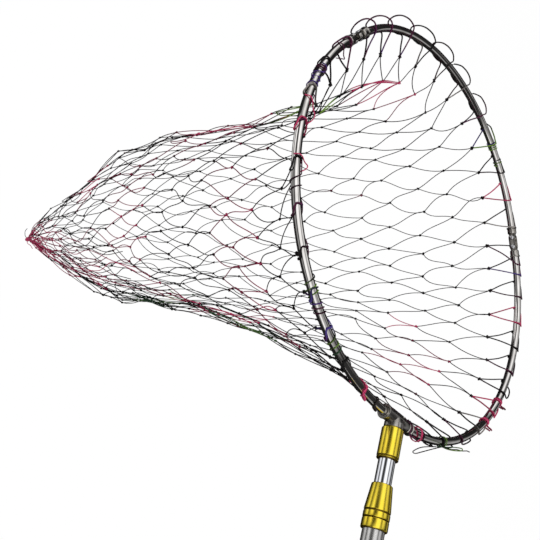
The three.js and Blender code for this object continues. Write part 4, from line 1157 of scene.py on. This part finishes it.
def knots(surface, point, normal, twine, size):
    """Knots: a small trefoil of thread in the net's face, turned at random."""
    t = np.linspace(0, 2 * np.pi, KNOT_POINTS, endpoint=False)
    x, y, z = np.sin(t) + 2 * np.sin(2 * t), np.cos(t) - 2 * np.cos(2 * t), -KNOT_DEPTH * np.sin(3 * t)
    spin = random.uniform(0, 2 * np.pi, (len(point), 1))
    first = unit(np.cross(normal, off_axis(normal)))
    x_way = np.cos(spin) * first + np.sin(spin) * np.cross(normal, first)
    axes = np.stack([x_way, np.cross(normal, x_way), normal], axis=1)
    scale = (size * random.uniform(*KNOT_SCALES, len(point)) / 3)[:, None, None]
    centres = point[:, None] + scale * np.einsum("kp,bpc->bkc", np.stack([x, y, z], axis=1), axes)
    ahead = unit(np.roll(centres, -1, axis=1) - np.roll(centres, 1, axis=1))
    across = unit(np.cross(ahead, np.broadcast_to(normal[:, None], ahead.shape) + 0.01))
    thread = np.full(centres.shape[:2], KNOT_THREAD)
    trefoils = rings(centres, across, np.cross(ahead, across), thread, KNOT_SIDES)
    return surface.add(trefoils, closed=True, along=twine[:, None])


# Thirds of the hoop: the angle where each starts and the body of its arc
SECTORS = {
    "left": (TOP_ANGLE, "head"),
    "upper": (RIGHT_ANGLE, "upper_arc"),
    "right": (SOCKET_ANGLE, "right_arc"),
}


def in_sector(rim, start):
    """Whether angles lie in the third of the hoop that starts at one, in degrees."""
    return np.mod(rim - math.radians(start), 2 * np.pi) < ARC_TURN


def bag_net(rows):
    """Threads and knots of the net in three sectors, one under each arc."""
    bars = [bars_between(upper, lower) for upper, lower in zip(rows, rows[1:])]
    whole = {key: np.concatenate([b[key] for b in bars]) for key in bars[0]}
    curve, along = bar_curves(whole)
    point, normal, rim, twine = (np.concatenate([r[key] for r in rows[:-1]])
                                 for key in ("point", "normal", "rim", "twine"))
    size = np.full(len(point), KNOT_SIZE)
    size[:LOOPS] *= RIM_KNOT_SCALE
    nets = {name: Surface() for name in SECTORS}
    for name, (start, _) in SECTORS.items():
        pick = in_sector(whole["rim"], start)
        strands(nets[name], curve[pick], THREAD_RADIUS, along[pick])
        pick = in_sector(rim, start)
        knots(nets[name], point[pick], normal[pick], twine[pick], size[pick])
        if name == "left":
            gather(nets, rows)
            drawn_threads(nets[name])
    return nets


def net_pieces(nets, rows):
    """The net's thirds as pieces, the upper and right third each with a mesh of its own. The line square to
    the plane through the top hinge, the base socket and the tip is worked out but not used."""
    top, base = (hoop_joint(angle).origin for angle in (TOP_ANGLE, SOCKET_ANGLE))
    tip = rows[-1]["point"].mean(axis=0)
    across = unit(np.cross(base - top, tip - top))
    thirds = (("left", ["net_bag"], None), ("upper", [], "top_fold"), ("right", [], "right_fold"))
    for name, nodes, joint in thirds:
        third = nets[name].piece(f"net_{name}_third", THREAD, "head", "net_thread", *nodes, sharp=0)
        if joint:
            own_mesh(third)


def gather(nets, rows):
    """Threads drawn through the knots under the top hinge, where the net is bunched."""
    row = rows[1]
    order = np.argsort(row["rim"])
    turn = np.degrees(row["rim"][order])
    inside = (turn > GATHER_FROM) & (turn < GATHER_TO)
    through = row["point"][order][inside]
    spread = random.normal(0, GATHER_SPREAD, (GATHER_THREADS, *through.shape))
    curve = catmull(through[None] + spread, GATHER_STEPS)
    dye = np.interp(np.linspace(0, 1, curve.shape[1]), *np.transpose(GATHER_DYES))
    spread = random.uniform(-GATHER_DYE_SPREAD, GATHER_DYE_SPREAD, (GATHER_THREADS, 1))
    metres = DYE_REPEAT * dye + spread
    cut = GATHER_STEPS * np.count_nonzero(turn[inside] < TOP_ANGLE - 1)
    strands(nets["upper"], curve[:, :cut + 1], THREAD_RADIUS, metres[:, :cut + 1])
    strands(nets["left"], curve[:, cut:], THREAD_RADIUS, metres[:, cut:])


def drawn_threads(surface):
    """Slack threads of the gathered end: lines down the bag's lower near side that wander and meet at the
    tip."""
    down = np.linspace(0, 1, DRAWN_POINTS)[None]
    late = DRAWN_LATE * random.uniform(0, 1, (DRAWN, 1))
    share = DRAWN_FROM + (1 - DRAWN_FROM) * down + late * (1 - down)
    start = np.linspace(*np.radians(DRAWN_STARTS), DRAWN)[:, None]
    end = np.linspace(*np.radians(DRAWN_ENDS), DRAWN)[:, None]
    angle = start + (end - start) * down + random.normal(0, DRAWN_WANDER, (DRAWN, DRAWN_POINTS))
    points = bag_point(share, angle)
    points = points + random.normal(0, DRAWN_STRAY, points.shape) * (1 - down)[..., None]
    curve = catmull(points, DRAWN_STEPS)
    along = np.linspace(*DRAWN_DYE_RUN, curve.shape[1])[None] * random.uniform(0.2, 1.0, (DRAWN, 1))
    strands(surface, curve, THREAD_RADIUS, DYE_REPEAT * CRIMSON + along)


def by_hoop(angle, radial, tangential, height):
    """Point near the hoop's tube: outwards from its centre line, along it and up."""
    turned_angle = angle + tangential / HOOP_RADIUS
    reach = hoop_reach(turned_angle) + radial
    x, y = reach * np.cos(turned_angle), HOOP_Y + reach * np.sin(turned_angle)
    return np.stack([x, y, height + 0 * reach], axis=-1)


def by_tube(angle, tangential, turn, distance):
    """Point round the hoop's tube: turned in degrees from outwards by way of up, at a distance from its
    middle."""
    turn = np.radians(turn)
    return by_hoop(angle, distance * np.cos(turn), tangential, distance * np.sin(turn))


# Hanging loops: steps between their points, how far their legs stray, and metres of dye along one
LOOP_STEPS = 4
LEG_JITTER = 0.8 * MM
LOOP_DYE_RUN = 0.1
# Distance from the tube's middle at which a thread lies on the tube, and on the sleeve beside the base socket
LOOP_GAP = 0.05 * MM
HUG = HOOP_TUBE_RADIUS + LOOP_RADIUS + LOOP_GAP
SOCKET_HUG = SLEEVE_RADIUS + LIP_HEIGHT + THREAD_RADIUS + 2 * LOOP_GAP
# Joints that the loops keep clear of: hoop angle, degrees
JOINT_CLEAR = ((SOCKET_ANGLE, 9), (RIGHT_ANGLE, 4.5), (TOP_ANGLE, 4.5))
# Loops that hug the tube: width of the V, narrower beyond an angle on the left arc, how far they stand off,
# one slack place, and their turn round the tube in degrees from outwards
HUG_WIDTH, LEFT_HUG_WIDTH = 23 * MM, 8 * MM
LEFT_HUG_FROM = 165
HUG_REACH = 1.2 * MM
SLACK_REACH = 4 * MM
SLACK_PLACE = (-21, 5)
HUG_RISE = 20
# Loops that stand as arcs round the top: each ramp is a hoop angle where it starts and the degrees it takes
ARCS_BEGIN, ARCS_END = (66, 14), (153, -6)
ARC_WIDTH, ARC_WIDER, ARCS_WIDEN = 25 * MM, 10 * MM, (79, 35)
ARC_REACH = 6.8 * MM
ARC_RISE, ARC_STEEPER, ARCS_STEEPEN = 15, 75, (135, -56)


def ramp(degrees, start, length):
    """0 up to the start and evenly up to 1 over the length; a negative length runs the other way."""
    return np.clip((degrees - start) / length, 0, 1)


def rim_loops(rows, nets):
    """Hanging loops: from the first row's knot over the tube, round a bight outside it and back under the
    tube. Round the top the bights stand out as wide arcs; elsewhere they hug the tube and the legs spread as
    a V. The legs belong to the net, and the bights to their arc."""
    knot = rows[0]["point"]
    degrees = np.mod(np.degrees(np.arctan2(knot[:, 1] - HOOP_Y, knot[:, 0])) + 90, 360) - 90
    for joint, clear in JOINT_CLEAR:
        past = np.mod(degrees - joint + 180, 360) - 180
        degrees = degrees + np.sign(past) * np.maximum(clear - np.abs(past), 0)
    angle = np.radians(degrees)
    arc = ramp(degrees, *ARCS_BEGIN) * ramp(degrees, *ARCS_END)
    spread = np.where(degrees > LEFT_HUG_FROM, LEFT_HUG_WIDTH, HUG_WIDTH) * random.uniform(0.85, 1.1, LOOPS)
    wide = (ARC_WIDTH + ARC_WIDER * ramp(degrees, *ARCS_WIDEN)) * random.uniform(0.9, 1.05, LOOPS)
    reach = HUG_REACH + ARC_REACH * arc + SLACK_REACH * hump(angle, *SLACK_PLACE)
    reach = reach * random.uniform(0.85, 1.15, LOOPS)
    rise = np.where(arc > 0, ARC_RISE + ARC_STEEPER * ramp(degrees, *ARCS_STEEPEN), HUG_RISE)
    front = -0.5 * (spread + (wide - spread) * arc)
    back = 0.5 * spread + (-0.2 * wide - 0.5 * spread) * arc
    left = -front
    # Points round the tube: along it, turn in degrees, distance from its middle
    bight = [by_tube(angle, *place) for place in (
        (front, 150, HUG),
        (front - 0.4 * MM, 95, HUG),
        (front - MM, np.minimum(rise + 25, 80), HUG + 0.35 * reach),
        (0.72 * front, rise + 6, HUG + 0.8 * reach),
        (0.25 * front, rise, HUG + reach),
        (0.3 * left, rise - 4, HUG + reach),
        (0.8 * left, rise - 14, HUG + 0.75 * reach),
        (left + MM, np.minimum(rise - 40, 5), HUG + 0.3 * reach),
        (0.75 * left + 0.25 * back, -70, HUG),
        (0.3 * left + 0.7 * back, -115, HUG),
        (back, -150, HUG),
    )]
    over = 0.5 * (knot + bight[0]) + random.normal(0, LEG_JITTER, knot.shape)
    under = 0.5 * (knot + bight[-1]) + random.normal(0, LEG_JITTER, knot.shape)
    curve = catmull(np.stack([knot, over, *bight, under, knot], axis=1), LOOP_STEPS)
    dye = INK - 1 + random.normal(0, DYE_SPREAD, LOOPS)
    for place, half, other in RIM_DYES:
        dye = dye + (other - dye) * hump(angle, place, half)
    metres = DYE_REPEAT * dye[:, None] + np.linspace(0, LOOP_DYE_RUN, curve.shape[1])
    first, last = 2 * LOOP_STEPS, (1 + len(bight)) * LOOP_STEPS
    for name, (start, body) in SECTORS.items():
        hangs = in_sector(rows[0]["rim"], start)
        for leg in (slice(0, first + 1), slice(last, None)):
            strands(nets[name], curve[hangs, leg], LOOP_RADIUS, metres[hangs, leg])
        pick = in_sector(angle, start)
        outside = slice(first, last + 1)
        surface = strands(Surface(), curve[pick, outside], LOOP_RADIUS, metres[pick, outside])
        for winding in COILS[name]:
            coil(surface, *winding)
        if name == "left":
            near_thread(surface)
            slack_bights(surface)
        elif name == "right":
            ties(surface)
        surface.piece(f"rim_loops_{name}", THREAD, body, "net_thread", sharp=0)


# Threads wound round the tube by arc: hoop angle, length along it, turns, distance from its middle, dye
COILS = {
    "left": ((231.5, 12 * MM, 3, HUG, VIOLET), (172, 9 * MM, 3, HUG, VIOLET)),
    "upper": ((64, 10 * MM, 4, HUG, GREEN), (58, 7 * MM, 2, HUG, GREEN)),
    "right": (
        (-79.5, 3 * MM, 2, SOCKET_HUG, CRIMSON), (-67, 8 * MM, 2, HUG, 0.72),
        (-41, 4 * MM, 3, HUG, CRIMSON), (-30, 4 * MM, 3, HUG, CRIMSON),
    ),
}
COIL_POINTS = 16
# Degrees that a coil's start is turned for each degree of its hoop angle
COIL_PHASE = 40


def coil(surface, degrees, length, turns, radius, dye):
    """Thread wound round the hoop's tube about an angle: a helix that lies on it."""
    share = np.linspace(0, 1, COIL_POINTS * turns)
    centre = np.full(len(share), math.radians(degrees))
    helix = by_tube(centre, (share - 0.5) * length, 360 * turns * share + COIL_PHASE * degrees, radius)
    metres = DYE_REPEAT * dye + share * 2 * np.pi * radius * turns
    return strands(surface, helix[None], THREAD_RADIUS, metres[None])


# Thread along the near tube: hoop angles it runs between, places and turns of its winds, softness of a wind
# in degrees, its waver round the tube, and its dyes by hoop angle
NEAR_FROM, NEAR_TO = 262, 172
NEAR_POINTS = 400
NEAR_WINDS = ((256, 1), (241, 3), (227, 3), (204, 2), (190, 1), (176, 4))
WIND_SOFTNESS = 0.9
NEAR_WAVER, NEAR_WAVES = 38, 61
NEAR_DYES = (
    (172, VIOLET), (178, VIOLET), (184, INK), (220, INK), (227, GREEN), (231, VIOLET), (236, VIOLET),
    (241, GREEN), (246, PLAIN_DYE), (252, CRIMSON), (262, CRIMSON),
)


def near_thread(surface):
    """Thread along the left arc: it wavers along the inside, and each wind is a soft step of its turn."""
    share = np.linspace(0, 1, NEAR_POINTS)
    degrees = NEAR_FROM + (NEAR_TO - NEAR_FROM) * share
    winds = sum(turns / (1 + np.exp((degrees - place) / WIND_SOFTNESS)) for place, turns in NEAR_WINDS)
    turn = 180 + 360 * winds + NEAR_WAVER * np.sin(share * NEAR_WAVES)
    line = by_tube(np.radians(degrees), 0 * share, turn, HUG)
    dye = np.interp(degrees, *np.transpose(NEAR_DYES))
    strands(surface, line[None], THREAD_RADIUS, DYE_REPEAT * dye[None])


# Routes of loose threads near the hoop, millimetres outwards, along it and up: a slack bight, the tie beside
# the base socket with its loose end, and the cut ends of a lashing
SLACK_ROUTES = [
    [[-4.7, 0, 1], [-8, -5, 4], [-10, -12, 4], [-7, -18, 3], [-2, -22, 5], [2, -24, 5], [4.7, -25, 1]],
]
TIE_ROUTES = [
    [[5, 0, 0], [7, -1, -8], [10, -2, -19], [12, -3, -27],
     [10, -2, -30], [6, 0, -22], [5, 1, -10], [5, 1, 0]],
    [[5, 0, 0], [5, 1, 7], [5, 2, 14], [6, 3, 20], [8, 3, 19], [8, 2, 13], [7, 1, 6], [5, 0, 1]],
    [[4, 1, 0], [6, 2, 4], [7, 3, 9], [7, 4, 14], [8, 5, 18], [8, 6, 21], [8, 7, 23], [9, 8, 25]],
]
CUT_END_ROUTES = [
    [[4, 0, -2], [7, 1, -1], [10, 2, 1], [12, 3, 2]],
    [[4, 0, 2], [6, -1, 4], [8, -1, 6], [9, -2, 7]],
]
CUT_END_RADIUS = 0.9 * MM
ROUTE_STEPS, CUT_END_STEPS = 6, 4
# Dyes of the tie's threads and of the cut ends, and metres of dye along them
TIE_DYES, TIE_DYE_RUN = (0.6, 0.72, 0.55), 0.11
CUT_END_DYE, CUT_END_DYE_RUN = 0.5, 0.02
# Slack bights: hoop angle, length as a share of the route's, dye
SLACK_BIGHTS = ((189, 1.0, CRIMSON), (164, 0.6, INK), (201, 0.5, CRIMSON))
TIE_ANGLE = -67
CUT_END_ANGLES = (-41, -30)


def laid_threads(surface, degrees, routes, steps, radius, dyes, run):
    """Smooth threads through given points about a hoop angle, each dyed from its own place in the
    repeat over a run of metres."""
    outwards, along, up = np.moveaxis(np.asarray(routes) * MM, -1, 0)
    curve = catmull(by_hoop(math.radians(degrees), outwards, along, up), steps)
    metres = DYE_REPEAT * np.reshape(dyes, (-1, 1)) + np.linspace(0, run, curve.shape[1])
    strands(surface, curve, radius, metres)


def slack_bights(surface):
    """Bights that stand off the left arc: one route, shortened along the hoop."""
    for degrees, size, dye in SLACK_BIGHTS:
        routes = np.multiply(SLACK_ROUTES, (1, size, 1))
        laid_threads(surface, degrees, routes, ROUTE_STEPS, THREAD_RADIUS, dye, 0)


def ties(surface):
    """Tie beside the base socket, and the cut ends of two lashings."""
    laid_threads(surface, TIE_ANGLE, TIE_ROUTES, ROUTE_STEPS, THREAD_RADIUS, TIE_DYES, TIE_DYE_RUN)
    for degrees in CUT_END_ANGLES:
        laid_threads(surface, degrees, CUT_END_ROUTES, CUT_END_STEPS, CUT_END_RADIUS,
                     CUT_END_DYE, CUT_END_DYE_RUN)


# End knot: turns and points of its whipping, its radius and swell, where it starts and how long it is, its
# thread and dyes, and the loose tails in millimetres from the tip with their metres along the dye
WHIPPING_TURNS = 7
WHIPPING_POINTS = 140
WHIPPING_RADIUS, WHIPPING_SWELL = 1.5 * MM, 1.3 * MM
WHIPPING_START, WHIPPING_LENGTH = 1 * MM, 13 * MM
WHIPPING_THREAD = 0.85 * MM
WHIPPING_DYES = (0.38, 0.44)
TAIL_ROUTES = [
    [[0, 0, 0], [1, -1, -10], [5, -3, -16], [11, -4, -15], [15, -8, -12]],
    [[0, 0, 0], [-1, 2, -11], [-4, 5, -15], [-8, 11, -14], [-9, 15, -9]],
    [[0, 0, 0], [1, 2, -9], [2, 6, -14], [7, 9, -17], [12, 9, -15]],
]
TAIL_METRES = [[0.4], [0.95], [0.5]]
TAIL_DYE_RUN = 0.06


def end_knot(rows):
    """Whipping round the gathered end: a helix of thread that swells in its middle, with loose tails."""
    tip = rows[-1]["point"].mean(axis=0)
    share = np.linspace(0, 1, WHIPPING_POINTS)
    turn = 2 * np.pi * WHIPPING_TURNS * share
    radius = WHIPPING_RADIUS + WHIPPING_SWELL * np.sin(np.pi * share)
    height = -WHIPPING_START - WHIPPING_LENGTH * share
    helix = tip + np.stack([radius * np.cos(turn), radius * np.sin(turn), height], axis=1)
    dye = np.linspace(*WHIPPING_DYES, WHIPPING_POINTS)
    surface = strands(Surface(), helix[None], WHIPPING_THREAD, DYE_REPEAT * dye[None])
    curve = catmull(tip + np.asarray(TAIL_ROUTES) * MM, ROUTE_STEPS)
    metres = np.linspace(0, TAIL_DYE_RUN, curve.shape[1]) + TAIL_METRES
    strands(surface, curve, THREAD_RADIUS, metres)
    surface.piece("end_knot_whipping", THREAD, "head", "net_thread", "end_knot", sharp=0)


ROW_KNOTS = knot_rows()
NETS = bag_net(ROW_KNOTS)
rim_loops(ROW_KNOTS, NETS)
net_pieces(NETS, ROW_KNOTS)
end_knot(ROW_KNOTS)

# Inner pieces keep their solids and take a finish
for node, material in {
    "rear_lock_collet": NYLON, "front_lock_collet": NYLON, "mid_guide_bush": NYLON, "tip_guide_bush": NYLON,
    "tip_insert": HINGE_STEEL, "head_stud": HINGE_STEEL, "detent_plunger": HINGE_STEEL,
}.items():
    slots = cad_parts[node].data.materials
    slots.clear()
    slots.append(material)


# Bands of light that metal sees: degrees from the left horizon upwards, brightness. The rear set lies behind,
# the pole set square to the pole and the front set ahead
REAR_BANDS = (
    (-180, 0.01), (-44, 0.02), (-28, 0.36), (-14, 0.36), (-2, 0.06), (16, 0.08), (30, 1.05), (70, 1.10),
    (81, 0.48), (98, 0.40), (114, 0.03), (148, 0.03), (157, 0.40), (164, 0.40), (172, 0.02), (180, 0.01),
)
POLE_BANDS = (
    (-180, 0.01), (-110, 0.01), (-90, 0.03), (-71, 0.30), (-58, 0.95), (-48, 0.95), (-38, 0.10), (-31, 0.12),
    (-20, 0.70), (-10, 1.15), (-2, 1.15), (8, 0.22), (17, 0.03), (30, 0.03), (40, 0.40), (49, 1.20),
    (76, 1.20), (86, 0.18), (93, 0.18), (102, 0.95), (113, 0.85), (126, 0.30), (136, 0.02), (147, 0.03),
    (154, 0.38), (163, 0.38), (171, 0.02), (180, 0.01),
)
FRONT_BANDS = (
    (-180, 0.01), (-20, 0.02), (2, 0.04), (16, 0.40), (32, 0.45), (50, 0.95), (82, 1.05), (96, 0.50),
    (108, 0.35), (122, 0.02), (180, 0.01),
)
# Parts of a direction along the pole at which one set gives way to the next, and over how much
POLE_SET_FROM = (0.12, 0.04)
FRONT_SET_FROM = (0.5, 0.05)


def light_tent(shade, direction):
    """Colour that metal sees in a direction: bands round the pole's own axis, counted from below by the left,
    over the top and down the right, in one of the three sets."""
    left = shade.split(direction, "X") * -1.0
    up = shade.split(direction, "Z")
    turn = left.math("ARCTAN2", up, left) / (2 * math.pi) + 0.5
    ramps = []
    for bands in (REAR_BANDS, POLE_BANDS, FRONT_BANDS):
        stops = [(0.5 + degrees / 360, (grey, grey, grey * 1.02)) for degrees, grey in bands]
        ramps.append(shade.node("ShaderNodeValToRGB", {"stops": stops}, {0: turn}))
    ahead = shade.split(direction, "Y")
    behind = shade.mix(ahead.above(*POLE_SET_FROM), *ramps[:2])
    return shade.mix(ahead.above(*FRONT_SET_FROM), behind, ramps[2])


FLOOR_HEIGHT = -1.05
FLOOR_HALF = 12.0
# Share of plain white in the floor that the eye sees; the rest is matt and keeps the shadow
FLOOR_WHITE = 0.985
# Lamps: name, place, what it points at, width and height, watts
LAMPS = (
    ("key", (-1.3, 0.9, 1.5), (0.0, 0.7, 0.0), (0.5, 1.4), 26.0),
    ("rim", (1.5, 1.7, 1.2), (0.0, 0.8, 0.0), (0.35, 1.2), 20.0),
    ("front", (0.9, -0.7, 1.3), (0.0, 0.6, 0.0), (0.6, 0.6), 12.0),
)
# Camera of the photograph: where it stands, and the directions of its picture's right and lower side
CAMERA_PLACE = (-0.5018, 0.4186, 0.3459)
CAMERA_RIGHT = np.array([0.6198, 0.2639, 0.7390])
CAMERA_DOWN = np.array([0.5216, -0.8422, -0.1367])
SENSOR_WIDTH = 36.0
FOCAL_LENGTH = 46.67
CLIP_START = 0.01


def linked(name, data):
    """New object in the scene that holds the data."""
    made = bpy.data.objects.new(name, data)
    bpy.context.scene.collection.objects.link(made)
    return made


def white_floor():
    """Level floor, white to the eye, that keeps the shadow; metal doesn't see it and sees the bands there."""
    half, z = FLOOR_HALF, FLOOR_HEIGHT
    corners = [(-half, -half, z), (half, -half, z), (half, half, z), (-half, half, z)]
    mesh = bpy.data.meshes.new("floor")
    mesh.from_pydata(corners, [], [(0, 1, 2, 3)])
    floor = linked("floor", mesh)
    floor.visible_glossy = False
    shade = new_shade("floor_white")
    eye = shade.node("ShaderNodeLightPath", out="Is Camera Ray")
    through = shade.node("ShaderNodeLightPath", out="Is Transmission Ray")
    white = shade.node("ShaderNodeEmission", None, {"Color": (1.0, 1.0, 1.0), "Strength": 1.0})
    matt = shade.node("ShaderNodeBsdfDiffuse", None, {"Color": (0.88, 0.88, 0.88)})
    seen = eye.math("MAXIMUM", eye, through) * FLOOR_WHITE
    mixed = shade.node("ShaderNodeMixShader", None, {0: seen, 1: matt, 2: white})
    shade.node("ShaderNodeOutputMaterial", None, {"Surface": mixed})
    mesh.materials.append(shade.owner)


def sky():
    """White to the eye, grey as a light, and bands of light for metal."""
    world = bpy.data.worlds.new("studio")
    bpy.context.scene.world = world
    shade = Shade(world)
    bands = light_tent(shade, shade.place("Generated"))
    eye = shade.node("ShaderNodeLightPath", out="Is Camera Ray")
    glossy = shade.node("ShaderNodeLightPath", out="Is Glossy Ray")
    colour = shade.mix(glossy, (0.75, 0.75, 0.75), bands)
    colour = shade.mix(eye, colour, (1.0, 1.0, 1.0))
    back = shade.node("ShaderNodeBackground", None, {"Color": colour, "Strength": 1.0})
    shade.node("ShaderNodeOutputWorld", None, {"Surface": back})


def soft_lamps():
    """Lamps of the table, each turned to what it points at; metal doesn't see them."""
    for name, place, aim, (wide, tall), power in LAMPS:
        lamp = bpy.data.lights.new(name, "AREA")
        lamp.shape = "RECTANGLE"
        lamp.size, lamp.size_y = wide, tall
        lamp.energy = power
        holder = linked(name, lamp)
        holder.visible_glossy = False
        back = unit(np.subtract(place, aim))
        right = unit(np.cross(Z_AXIS, back))
        holder.matrix_world = view_matrix(place, right, np.cross(back, right), back)


def view_matrix(place, right, up, back):
    """Placing of a lamp or camera that looks against back."""
    matrix = np.eye(4)
    matrix[:3] = np.stack([right, up, back, place], axis=1)
    return Matrix(matrix.tolist())


def camera():
    """Camera where the photograph was taken from, with its frame turned as it is there."""
    lens = bpy.data.cameras.new("camera")
    lens.sensor_width = SENSOR_WIDTH
    lens.lens = FOCAL_LENGTH
    lens.clip_start = CLIP_START
    eye = linked("camera", lens)
    right = unit(CAMERA_RIGHT)
    down = unit(CAMERA_DOWN - right * np.dot(CAMERA_DOWN, right))
    eye.matrix_world = view_matrix(CAMERA_PLACE, right, -down, -np.cross(right, down))
    bpy.context.scene.camera = eye


white_floor()
sky()
soft_lamps()
camera()
bpy.context.scene.view_settings.view_transform = "Standard"
